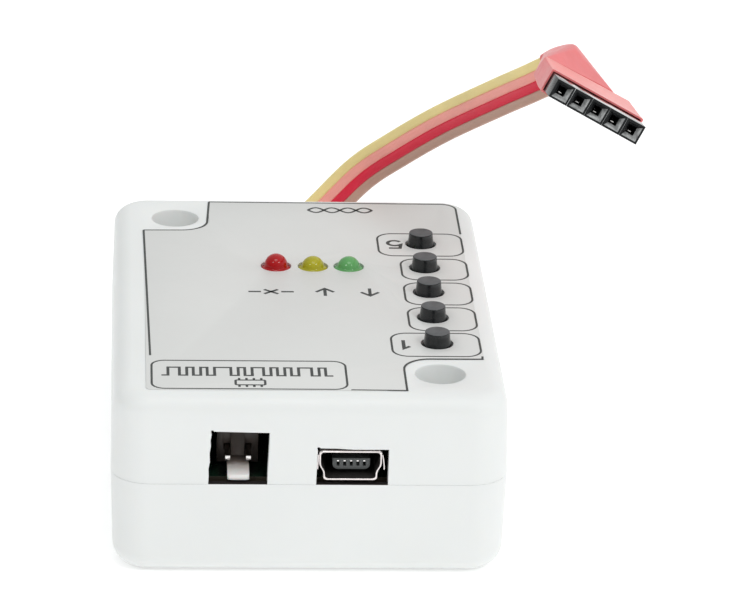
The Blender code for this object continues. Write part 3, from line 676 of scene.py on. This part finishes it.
def make_sleeve():
    """Sleeve in two runs: tight over the ribbon and its joints, then boxy over the strip."""
    rings = sleeve_rings()
    collar = new_object("sleeve_collar", loft(rings[:14]))
    finish_piece(collar, "sleeve", smooth=35.0)
    inner = strip_frame().inverted()
    rim = [point for point in rings[-1] if (inner @ (point * MM)).x < SLEEVE_SHOULDER * MM]
    back = new_object("sleeve_back", taut(rings[9:72] + [rim]))
    finish_piece(back, "sleeve", smooth=14.0)
    end = new_object("sleeve_end", loft([rings[-1]] + end_rings()))
    combine(end, strip_box(0.1, 2.0, STRIP_DEPTH + 0.2), turn=strip_frame())
    up = strip_frame().col[2].to_3d()
    # the upward faces of the boxy end get the lighter red: painted sheen
    two_tone(end, lambda center, normal: normal.dot(up) > 0.75)
    finish_piece(end, ("sleeve", "sleeve_painted_sheen"), "heat_shrink_sleeve", smooth=24.0)
    return [end, back, collar]


def strip_ways():
    return [(k - (STRIP_WAYS - 1) / 2) * STRIP_PITCH for k in range(STRIP_WAYS)]


def make_strip():
    strip = new_object("socket_strip", strip_box(0.0, 0.0, STRIP_DEPTH))
    for x in strip_ways():
        funnel = []
        for half, depth in ((1.10, -0.1), (1.0, 0.02), (0.54, 0.9), (0.54, 6.8)):
            corners = ((-half, -half), (half, -half), (half, half), (-half, half))
            funnel.append([(x + a, depth, b) for a, b in corners])
        combine(strip, loft(funnel))
    for x in strip_ways()[:-1]:
        seam = x + STRIP_PITCH / 2
        notch = ((seam - 0.05, -0.05), (seam + 0.05, -0.05), (seam, 0.08))
        combine(strip, prism(notch, -2.0, 2.0))
    for face in strip.data.polygons:
        # funnel faces that face the light, and the first seam, get the light grey funnel material: painted
        # reflection on glossy black
        slanted = 0.3 < -face.normal.y < 0.6
        lit = face.normal.z > 0.3 or face.normal.x < -0.3
        seam = abs(face.center.x / MM - strip_ways()[0] - STRIP_PITCH / 2) < 0.06
        past = max(abs(face.center.x) - 6.3 * MM, abs(face.center.z) - 1.2 * MM)
        outer = abs(face.normal.y) < 0.1 and past > 0
        if slanted and lit and face.area > 0.2 * MM * MM:
            face.material_index = 1
        else:
            face.material_index = 1 if seam else (0 if outer and abs(face.normal.x) < 0.5 else 2)
        if outer and face.normal.x < -0.5:
            face.material_index = 3
    soften(strip, 0.045, 2, 40.0)
    strip.matrix_world = strip_frame()
    finish_piece(strip, ("strip", "funnel", "strip_face", "strip_end"), "socket_housing",
                 smooth=30.0)
    pieces = [strip]
    for index, x in enumerate(strip_ways(), start=1):
        outline = ((1.5, -0.36), (6.4, -0.36), (6.4, 0.25), (2.6, 0.25), (1.9, -0.05), (1.5, -0.2))
        leaf = new_object(f"contact_leaf_{index}", prism(outline, x - 0.26, x + 0.26, "X"))
        soften(leaf, 0.04, 2)
        leaf.matrix_world = strip_frame()
        pieces.append(finish_piece(leaf, "tin", f"socket_contact_{index}"))
    return pieces


def make_lead():
    ribbon = make_ribbon()
    pieces = make_sleeve() + make_strip()


# ---- case -----------------------------------------------------------------------------------
def inset_of(point):
    """How far a point lies inside the widest outline of the case."""
    over_x = abs(point.x) - (CASE_WIDTH / 2 - SIDE_CORNER)
    over_y = abs(point.y) - (CASE_LENGTH / 2 - SIDE_CORNER)
    outside = math.hypot(max(over_x, 0.0), max(over_y, 0.0))
    return SIDE_CORNER - outside - min(max(over_x, over_y), 0.0)


def two_tone(thing, is_inside):
    """Gives the faces that is_inside picks the second material."""
    for face in thing.data.polygons:
        if is_inside(face.center / MM, face.normal):
            face.material_index = 1


def make_upper_shell():
    rim = PARTING_HEIGHT + PARTING_GAP / 2
    shoulder = CASE_HEIGHT - TOP_EDGE
    rings = [case_ring(0.03, rim), case_ring(0.0, rim + 0.03)]
    for inset, rise in edge_rings(TOP_EDGE):
        rings.append(case_ring(inset + DRAFT * (shoulder - PARTING_HEIGHT), shoulder + rise))
    rings.reverse()
    rings += [case_ring(SKIRT_INSET, rim), case_ring(SKIRT_INSET, rim - SKIRT_DEPTH),
              case_ring(WALL, rim - SKIRT_DEPTH), case_ring(WALL + DRAFT * 9.0, CASE_HEIGHT - WALL)]
    shell = new_object("case_top", loft(rings))
    for x, y in CASE_SCREWS:
        combine(shell, rod(4.3, 12.6, CASE_HEIGHT - 1.0), "UNION", (x, y, 0.0))
        well = ((0.0, CASE_HEIGHT + 1.0), (WELL_RADIUS + 0.35, CASE_HEIGHT + 1.0),
                (WELL_RADIUS + 0.35, CASE_HEIGHT), (WELL_RADIUS + 0.1, CASE_HEIGHT - 0.1),
                (WELL_RADIUS, CASE_HEIGHT - 0.35), (WELL_RADIUS, WELL_FLOOR), (0.0, WELL_FLOOR))
        combine(shell, turned(well, 64), at=(x, y, 0.0))
        combine(shell, rod(1.65, 11.0, WELL_FLOOR + 1.0, 32), at=(x, y, 0.0))
    combine(shell, prism(label_outline(0.02), LABEL_LOW - 0.02, CASE_HEIGHT + 1.0))
    drill(shell, LAMP_PLACES, LAMP_HOLE - 0.03, CASE_HEIGHT - 4.0, CASE_HEIGHT + 1.0)
    drill(shell, BUTTON_PLACES, BUTTON_HOLE - 0.12, CASE_HEIGHT - 4.0, CASE_HEIGHT + 1.0)
    front = -CASE_LENGTH / 2
    # both windows are cut by hand, with a slip of the blade past each upper left corner
    header_window = ((-12.55, 10.0), (-5.3, 10.0), (-5.25, 14.0), (-5.12, 17.0), (-5.07, 19.05), (-8.0, 19.1),
                     (-11.85, 19.18), (-11.9, 19.34), (-12.22, 19.32), (-12.25, 18.95), (-12.12, 18.8),
                     (-12.28, 17.9), (-12.2, 17.3), (-12.34, 16.4), (-12.3, 15.2), (-12.46, 14.3),
                     (-12.42, 13.4))
    usb_window = ((0.6, 10.0), (9.4, 10.0), (9.45, 16.95), (5.2, 16.93), (3.2, 17.06), (1.1, 17.08),
                  (0.98, 17.22), (0.72, 17.18), (0.7, 16.95), (0.78, 16.8), (0.72, 14.8))
    for window in (header_window, usb_window):
        combine(shell, prism(window, front - 1.0, front + WALL + 0.6, "Y"))
    slot_middle = RIBBON_ROUTE[0][0][0]
    slot_half = RIBBON_WIDTH / 2 + 0.4
    back = CASE_LENGTH / 2
    combine(shell, block(slot_middle - slot_half, slot_middle + slot_half, back - WALL - 0.6, back + 1.0,
                         10.0, RIBBON_ROUTE[0][0][2] + 0.85))

    # faces inside the case get the near black inside material: painted shade
    def inside(center, normal):
        if center.z > CASE_HEIGHT - WALL + 0.05:
            return False
        if min((center.xy - Vector(place)).length for place in CASE_SCREWS) < WELL_RADIUS + 0.2:
            return center.z < WELL_FLOOR - 0.5
        if center.z > CASE_HEIGHT - TOP_EDGE and normal.z > -0.5:
            return False
        return inset_of(center) > WALL - 0.1 or center.z < PARTING_HEIGHT

    two_tone(shell, inside)
    finish_piece(shell, ("case", "inside"), "upper_shell", smooth=28.0)


def make_lower_shell():
    rings = []
    for inset, rise in reversed(edge_rings(BOTTOM_EDGE)):
        level = BOTTOM_EDGE - rise
        rings.append(case_ring(inset + DRAFT * (PARTING_HEIGHT - BOTTOM_EDGE), level))
    rim = PARTING_HEIGHT - PARTING_GAP / 2
    ledge = rim - SKIRT_DEPTH - 0.3
    rings += [case_ring(0.0, rim - 0.03), case_ring(0.03, rim), case_ring(REBATE_INSET, rim),
              case_ring(REBATE_INSET, ledge), case_ring(WALL, ledge),
              case_ring(WALL + DRAFT * PARTING_HEIGHT, WALL)]
    shell = new_object("case_bottom", loft(rings))
    for places, radius, top in ((CASE_SCREWS, 3.2, PARTING_HEIGHT), (BOARD_SCREWS, 2.7, BOARD_BOTTOM - 0.25)):
        for x, y in places:
            combine(shell, rod(radius, 1.0, top), "UNION", (x, y, 0.0))
            combine(shell, rod(1.3, 3.0, 14.0, 32), at=(x, y, 0.0))
    for x, y in ((-17.5, 8.0), (17.5, -8.0)):
        combine(shell, rod(1.8, 1.0, BOARD_BOTTOM - 0.25, 32), "UNION", (x, y, 0.0))

    # faces inside the case and the rim in the parting gap get the near black inside material: painted shade
    def inside(center, normal):
        inset = inset_of(center)
        if center.z < BOTTOM_EDGE + 0.1:
            return normal.z > 0.5 and center.z > 1.0 and inset > WALL
        return inset > 0.4

    two_tone(shell, inside)
    finish_piece(shell, ("case", "inside"), "lower_shell", smooth=28.0)


# ---- label and its print --------------------------------------------------------------------
def label_outline(grow=0.0):
    """Outline of the label with its notches around the screw wells, pushed out by grow."""
    left, right = -20.1 - grow, 21.7 + grow
    near, far = -32.4 - grow, 32.7 + grow
    notch_x, notch_near, notch_far = 11.5, -22.2, 21.9
    corner = 3.4
    outline = arc((left + 0.6, near + 0.6), 0.6, 180, 270, 6) + [(notch_x + grow, near)]
    outline += arc((notch_x + corner, notch_near - corner), corner - grow, 180, 90)
    outline += [(right, notch_near - grow)]
    outline += arc((right - 2.0, far - 2.0), 2.0, 0, 90, 10) + [(-notch_x - grow, far)]
    outline += arc((-notch_x - corner, notch_far + corner), corner - grow, 0, -90)
    outline += [(left, notch_far + grow)]
    return outline


def make_label():
    label = new_object("face_film", prism(label_outline(), LABEL_LOW, LABEL_TOP))
    drill(label, LAMP_PLACES, LAMP_HOLE, LABEL_LOW - 1.0, LABEL_TOP + 1.0)
    drill(label, BUTTON_PLACES, BUTTON_HOLE - 0.1, LABEL_LOW - 1.0, LABEL_TOP + 1.0)
    soften(label, 0.03, 2, 40.0)
    finish_piece(label, "label", "face_label", smooth=30.0)


def stroke(bm, points, width, closed=False):
    """Lays a flat inked line of even width along points on the label."""
    low, high = LABEL_TOP - 0.02, LABEL_TOP + 0.012
    path = [Vector(point) for point in points]
    count = len(path)
    sides = []
    for k, point in enumerate(path):
        before = path[k - 1] if closed or k > 0 else point
        after = path[(k + 1) % count] if closed or k < count - 1 else point
        into = (point - before).normalized() if (point - before).length > 1e-6 else None
        out = (after - point).normalized() if (after - point).length > 1e-6 else None
        into = into or out
        out = out or into
        direction = (into + out).normalized()
        normal = Vector((-direction.y, direction.x))
        stretch = 1.0 / max(normal.dot(Vector((-into.y, into.x))), 0.4)
        offset = normal * (width / 2 * stretch)
        sides.append((point - offset, point + offset))
    rows = []
    for right, left in sides:
        corners = ((right, low), (right, high), (left, high), (left, low))
        rows.append([bm.verts.new((point.x, point.y, level)) for point, level in corners])
    pairs = list(zip(rows, rows[1:]))
    if closed:
        pairs.append((rows[-1], rows[0]))
    for one, two in pairs:
        for i in range(4):
            j = (i + 1) % 4
            bm.faces.new((one[i], one[j], two[j], two[i]))
    if not closed:
        bm.faces.new(list(reversed(rows[0])))
        bm.faces.new(rows[-1])


def rounded_frame(x0, x1, y0, y1, radius):
    middle = ((x0 + x1) / 2, (y0 + y1) / 2)
    outline = rounded_outline((x1 - x0) / 2, (y1 - y0) / 2, radius, 8)
    return [(x + middle[0], y + middle[1]) for x, y in outline]


LINE = 0.27
BUTTON_FRAMES = ((10.5, 21.5, -21.4, -13.8), (13.1, 21.6, -12.9, -5.15), (13.1, 21.65, -4.15, 3.45),
                 (13.15, 21.7, 4.5, 11.95), (10.55, 21.65, 13.05, 21.15))


def placed(points, center, size, angle=0.0):
    """Moves a unit drawing to its place on the label."""
    turn = Matrix.Rotation(math.radians(angle), 2)
    return [tuple(turn @ Vector((x * size, y * size)) + Vector(center)) for x, y in points]


def border_lines(bm):
    """Outline of the label, broken where the frames of the buttons meet it."""
    stroke(bm, [(-20.2, 21.8), (-19.55, -21.6)], LINE)
    far_left = [(-11.4, 32.6), (-11.75, 25.4)] + arc((-15.15, 25.3), 3.4, 0, -90)[1:] + [(-20.2, 21.8)]
    stroke(bm, far_left, LINE)
    stroke(bm, [(-11.4, 32.6), (19.9, 32.4)] + arc((19.75, 30.45), 1.95, 85, 0)[1:] + [(21.7, 21.2)], LINE)
    near_right = [(4.8, -32.2), (11.6, -32.3), (11.6, -25.9)] + arc((15.0, -25.6), 3.4, 178, 90)[1:]
    stroke(bm, near_right + [(21.5, -22.15), (21.55, -21.3)], LINE)


def make_print():
    """Generic print on the label: border, frames, numbers and plain pictograms."""
    bm = bmesh.new()
    border_lines(bm)
    for x0, x1, y0, y1 in BUTTON_FRAMES:
        stroke(bm, rounded_frame(x0, x1, y0, y1, 2.0), LINE, closed=True)
    stroke(bm, rounded_frame(-19.4, 4.4, -32.1, -23.2, 1.6), LINE, closed=True)

    # numbers of the last and first button, read from the far side
    five = [(0.3, 0.5), (-0.24, 0.5), (-0.3, 0.02)] + arc((0.0, -0.17), 0.33, 130, -145, 16)
    stroke(bm, placed(five, (12.75, 17.2), 2.7, 180), 0.46)
    one = [(-0.2, 0.25), (0.08, 0.5), (0.08, -0.5)]
    stroke(bm, placed(one, (12.2, -17.5), 2.7, 180), 0.46)

    # signs beside the lamps: broken line, write and read
    x_red, x_yellow, x_green = (x for x, top in LAMPS.values())
    sign_y = 0.0
    for angle in (40, -40):
        stroke(bm, placed([(-1.15, 0.0), (1.15, 0.0)], (x_red - 0.9, sign_y), 1.0, angle), 0.42)
    for side in (-1, 1):
        stroke(bm, [(x_red - 0.9 + side * 1.3, sign_y), (x_red - 0.9 + side * 2.9, sign_y)], 0.42)
    for x, angle in ((x_yellow + 1.2, 0), (x_green + 2.3, 180)):
        stroke(bm, placed([(0.0, -1.1), (0.0, 0.75)], (x, sign_y), 1.2, angle), 0.42)
        stroke(bm, placed([(-0.95, 0.0), (0.0, 1.0), (0.95, 0.0)], (x, sign_y), 1.2, angle), 0.42)

    # balanced line pair beside the ribbon's outlet
    for shift in (-1, 1):
        wave = []
        for k in range(33):
            across = k / 32 * 2 - 1
            wave.append((6.1 + 4.3 * across, 29.8 + shift * 0.9 * math.sin(across * 2 * math.pi)))
        stroke(bm, wave, 0.36)

    # pulse train and chip sign in the title frame
    low, high = -27.9, -25.4
    pulses = [(-18.2, low)]
    x = -17.4
    for wide in (1.4, 0.8, 0.8, 2.0, 0.8, 1.4, 0.8, 0.8, 1.6, 0.8):
        pulses += [(x, low), (x, high), (x + wide, high), (x + wide, low)]
        x += wide + 0.9
    stroke(bm, pulses + [(x, low)], 0.36)
    chip = (-7.4, -30.1)
    stroke(bm, rounded_frame(chip[0] - 1.8, chip[0] + 1.8, chip[1] - 0.75, chip[1] + 0.75, 0.2), 0.3,
           closed=True)
    for side in (-1, 1):
        for k in range(4):
            x = chip[0] + (k - 1.5) * 0.9
            stroke(bm, [(x, chip[1] + side * 0.8), (x, chip[1] + side * 1.4)], 0.3)
    print_mesh = to_mesh("print", bm)
    finish_piece(new_object("label_print", print_mesh), "ink", smooth=30.0)


# ---- screws ---------------------------------------------------------------------------------
def make_screw(name, place, head_base, head_radius, tip, node):
    height = head_radius * 0.62
    profile = [(0.0, head_base + height)]
    for k in range(1, 9):
        angle = math.pi / 2 * k / 8
        rise = height * (0.3 + 0.7 * math.cos(angle) ** 0.7)
        profile.append((head_radius * math.sin(angle), head_base + rise))
    profile[-1] = (head_radius, head_base + height * 0.3)
    profile += [(head_radius, head_base + 0.06), (head_radius - 0.06, head_base), (1.1, head_base)]
    level = head_base
    while level > tip + 1.6:
        profile += [(0.92, level - 0.35), (1.1, level - 0.5)]
        level -= 0.5
    profile += [(0.0, tip)]
    screw = new_object(name, turned(profile, 40))
    arm, blade = head_radius * 0.55, head_radius * 0.12
    floor = head_base + height * 0.35
    cross = ((arm, blade), (blade, blade), (blade, arm), (-blade, arm), (-blade, blade), (-arm, blade),
             (-arm, -blade), (-blade, -blade), (-blade, -arm), (blade, -arm), (blade, -blade), (arm, -blade))
    combine(screw, prism(cross, floor, head_base + height + 1.0))
    screw.location = Vector((*place, 0.0)) * MM
    finish_piece(screw, "steel", node, smooth=35.0)


# ---- board and what is on it ----------------------------------------------------------------
def make_board():
    half_width, near, far, trim = 21.2, -33.0, 31.6, 1.5
    bay_x = CASE_SCREWS[0][0] - 4.8
    bay_y = -CASE_SCREWS[0][1] - 4.8
    outline = ((-half_width, near + trim), (-half_width + trim, near), (bay_x, near), (bay_x, -bay_y),
               (half_width, -bay_y), (half_width, far - trim), (half_width - trim, far),
               (-bay_x, far), (-bay_x, bay_y), (-half_width, bay_y))
    board = new_object("board", prism(outline, BOARD_BOTTOM, BOARD_TOP))
    drill(board, BOARD_SCREWS, 1.55, BOARD_BOTTOM - 1.0, BOARD_TOP + 1.0, 32)
    soften(board, 0.05, 1, 40.0)
    for face in board.data.polygons:
        face.material_index = 0 if abs(face.normal.z) > 0.9 else 1
    finish_piece(board, ("board", "board_edge"), "circuit_board", smooth=30.0)


def make_usb():
    """Pressed shield with rounded corners, its side springs, and the slotted tongue."""
    def mouth(grow):
        wide, slim = 3.83 + grow, 3.3 + grow
        half = ((slim, USB_BASE - grow, 0.7), (slim, USB_BASE + 1.15, 0.7), (wide, USB_BASE + 1.95, 0.7),
                (wide, USB_BASE + 3.87 + grow, 0.45))
        corners = [((USB_X + x, z), reach) for x, z, reach in half]
        corners += [((USB_X - x, z), reach) for x, z, reach in reversed(half)]
        points = []
        for index, (corner, reach) in enumerate(corners):
            here = Vector(corner)
            before = Vector(corners[index - 1][0]) - here
            after = Vector(corners[(index + 1) % len(corners)][0]) - here
            reach = min(reach, before.length * 0.45, after.length * 0.45)
            start = here + before.normalized() * reach
            end = here + after.normalized() * reach
            for k in range(7):
                t = k / 6
                points.append(tuple(start * (1 - t) ** 2 + here * 2 * t * (1 - t) + end * t * t))
        return points

    outer, inner = mouth(0.0), mouth(-0.24)
    rings = [[(x, USB_BACK, z) for x, z in outer], [(x, USB_FRONT + 0.05, z) for x, z in outer],
             [(x, USB_FRONT, z) for x, z in mouth(-0.05)], [(x, USB_FRONT, z) for x, z in mouth(-0.2)],
             [(x, USB_FRONT + 0.05, z) for x, z in inner], [(x, USB_BACK - 0.35, z) for x, z in inner]]
    shell = new_object("usb_shield", loft(rings))
    combine(shell, block(USB_X - 2.9, USB_X + 2.9, USB_FRONT + 2.5, USB_BACK - 1.0, PART_BASE,
                         USB_BASE + 0.15), "UNION")
    # inward faces deep in the shield get the near black inside material: painted shade on the metal
    for face in shell.data.polygons:
        center = face.center / MM
        deep = center.y > USB_FRONT + 0.3 and abs(center.x - USB_X) < 3.6 and face.normal.y < 0.5
        inward = (center - Vector((USB_X, center.y, USB_BASE + 1.8))).dot(face.normal) < 0
        face.material_index = 1 if deep and inward else 0
    shell.data.materials.append(MATERIALS["shield"])
    shell.data.materials.append(MATERIALS["inside"])
    finish_piece(shell, (), "usb_shell")

    for side in (-1, 1):
        reach = 0.22 if side > 0 else 0.08
        y = USB_FRONT + 0.12
        rings = []
        for k in range(13):
            t = k / 12
            x = USB_X + side * (3.9 + reach * math.sin(math.pi * 0.5 * t))
            z = USB_BASE + 3.3 - 1.9 * t
            rings.append([(x - 0.06, y, z), (x + 0.06, y, z), (x + 0.06, y + 2.2, z), (x - 0.06, y + 2.2, z)])
        wing = new_object(f"usb_spring_{'left' if side < 0 else 'right'}", loft(rings))
        finish_piece(wing, "shield", smooth=50.0)

    back = USB_BACK - 0.35 - 0.15
    low = USB_BASE + 0.95
    tongue = new_object("usb_insert", prism(mouth(-0.5), back - 1.8, back, "Y"))
    middle = USB_X + 0.15
    front_view = [(middle + 2.3, low + 1.45), (middle - 2.3, low + 1.45)]
    for side, start in ((-1, 180), (1, 270)):
        front_view += arc((middle + side * 1.6, low + 0.7), 0.7, start, start + 90, 6)
    combine(tongue, prism(front_view, USB_FRONT + 1.2, back - 1.0, "Y"), "UNION")
    contact_xs = [middle + (k - 2) * 0.8 for k in range(5)]
    for x in contact_xs:
        combine(tongue, block(x - 0.18, x + 0.18, USB_FRONT, USB_FRONT + 6.0, low + 0.45, low + 1.2))
    soften(tongue, 0.05, 2, 40.0)
    finish_piece(tongue, "grey", "usb_tongue", smooth=30.0)
    for index, x in enumerate(contact_xs, start=1):
        outline = ((USB_FRONT + 1.5, low + 1.05), (USB_FRONT + 6.0, low + 0.75), (USB_FRONT + 6.0, low + 0.6),
                   (USB_FRONT + 1.5, low + 0.9))
        spring = new_object(f"usb_contact_{index}", prism(outline, x - 0.13, x + 0.13, "X"))
        finish_piece(spring, "tin")


def make_header():
    x, half, base = HEADER_X, HEADER_PITCH, PART_BASE
    wafer = new_object("header_block", block(x - half, x + half, -28.8, -25.6, base, base + 6.4))
    tongue = [(-34.9, base + 0.62), (-34.86, base + 0.35), (-34.7, base + 0.12), (-34.4, base + 0.05),
              (-28.0, base + 0.05), (-28.0, base + 1.4), (-31.0, base + 1.35), (-33.6, base + 1.2),
              (-34.5, base + 1.0), (-34.8, base + 0.85)]
    corner = 0.45
    rows = []
    for shift, pull in ((-1.33, 0.5), (-1.2, 0.2), (-0.9, 0.0), (0.9, 0.0), (1.2, 0.2), (1.33, 0.5)):
        rows.append([(x + shift, y + (pull * corner if y < -33.0 else 0.0), z) for y, z in tongue])
    combine(wafer, loft(rows), "UNION")
    rib = ((-30.2, base + 1.0), (-28.0, base + 1.0), (-28.0, base + 5.6), (-29.2, base + 3.4))
    combine(wafer, prism(rib, x - 0.85, x + 0.85, "X"), "UNION")
    for side in (-1, 1):
        middle = x + side * HEADER_PITCH / 2
        hole = HEADER_PIN / 2 + 0.1
        combine(wafer, block(middle - hole, middle + hole, -30.0, -25.0, HEADER_PIN_Z - hole,
                             HEADER_PIN_Z + hole))
    soften(wafer, 0.08, 2, 40.0)
    finish_piece(wafer, "nylon", "header_wafer", smooth=35.0)

    for index, side in enumerate((-1, 1), start=1):
        middle = x + side * HEADER_PITCH / 2
        h, z, tip, heel = HEADER_PIN / 2, HEADER_PIN_Z, HEADER_PIN_TIP, -24.9
        side_view = ((tip, z - h), (heel, z - h), (heel, PART_BASE), (heel + HEADER_PIN, PART_BASE),
                     (heel + HEADER_PIN, z + h), (tip, z + h))
        pin = new_object(f"header_post_{index}", prism(side_view, middle - h, middle + h, "X"))
        soften(pin, 0.09, 2, 40.0)
        # behind the tips the pins get the dark tin: painted shade inside the window
        two_tone(pin, lambda center, normal: center.y > tip + 0.2)
        finish_piece(pin, ("tin", "tin_painted_shade"), f"header_pin_{index}", smooth=25.0)


def make_lamp(color):
    x, top = LAMPS[color]
    radius = 1.5
    dome = arc((0.0, top - radius), radius, 90, 0, 14)
    profile = [point for point in dome if point[1] > CASE_HEIGHT + 0.22]
    flange = ((1.53, 0.12), (1.62, 0.02), (1.74, -0.07), (1.86, -0.15), (1.93, -0.25), (1.93, -3.3),
              (0.0, -3.3))
    profile += [(reach, CASE_HEIGHT + rise) for reach, rise in flange]
    lamp = new_object(f"lamp_{color}", turned(profile, 64), (x, LAMP_Y, 0.0))
    finish_piece(lamp, f"lamp_{color}", f"led_{color}", smooth=45.0)
    for index, side in enumerate((-1, 1), start=1):
        y = side * 1.27
        shape = block(-0.25, 0.25, y - 0.25, y + 0.25, PART_BASE, CASE_HEIGHT - 3.25)
        leg = new_object(f"lamp_{color}_leg_{index}", shape, (x, LAMP_Y, 0.0))
        soften(leg, 0.04, 1)
        finish_piece(leg, "tin")


def make_button(index, y):
    flange = SWITCH_TOP - 0.25
    edge = 0.16
    profile = [(0.0, BUTTON_TOP)] + arc((1.56 - edge, BUTTON_TOP - edge), edge, 90, 0, 4)
    side = ((1.59, 1.1), (1.63, 0.7), (1.67, 0.4), (1.74, 0.1), (1.82, -0.15), (1.88, -0.4),
            (1.9, -0.6), (1.9, -1.4), (1.6, -1.7))
    profile += [(reach, CASE_HEIGHT + rise) for reach, rise in side]
    profile += [(1.6, flange), (1.95, flange), (1.95, flange - 0.6), (0.8, flange - 0.8),
                (0.8, flange - 0.95), (0.0, flange - 0.95)]
    button = new_object(f"push_button_{index}", turned(profile, 64), (BUTTON_X, y, 0.0))
    # the flat tops get the grey top material: painted reflection
    two_tone(button, lambda center, normal: normal.z > 0.75)
    finish_piece(button, ("button", "button_top_painted_reflection"), f"switch_button_{index}", body=f"button_{index}")


# ---- inner parts kept from the frame --------------------------------------------------------
KEPT_FINISH = {
    "microcontroller": "black", "line_driver": "black", "regulator": "black", "crystal": "steel",
    "capacitor_1": "aluminium", "capacitor_2": "aluminium", "wire_header": "black",
}
for number in range(1, 6):
    for part, finish in (("body", "grey"), ("cover", "steel"), ("dome", "steel")):
        KEPT_FINISH[f"switch_{part}_{number}"] = finish


def dress_kept_nodes():
    for name, finish in KEPT_FINISH.items():
        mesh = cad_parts[name].data
        mesh.materials.clear()
        mesh.materials.append(MATERIALS[finish])


def main():
    make_camera()
    make_lead()
    make_studio()
    make_upper_shell()
    make_lower_shell()
    make_label()
    make_print()
    for index, place in enumerate(CASE_SCREWS, start=1):
        make_screw(f"lid_screw_{index}", place, WELL_FLOOR + 0.25, 2.6, 4.0, f"case_screw_{index}")
    for index, place in enumerate(BOARD_SCREWS, start=1):
        make_screw(f"inner_screw_{index}", place, BOARD_TOP + 0.25, 2.2, 4.5, f"board_screw_{index}")
    make_board()
    make_usb()
    make_header()
    for color in LAMPS:
        make_lamp(color)
    for index, y in enumerate(BUTTON_YS, start=1):
        make_button(index, y)
    dress_kept_nodes()


main()
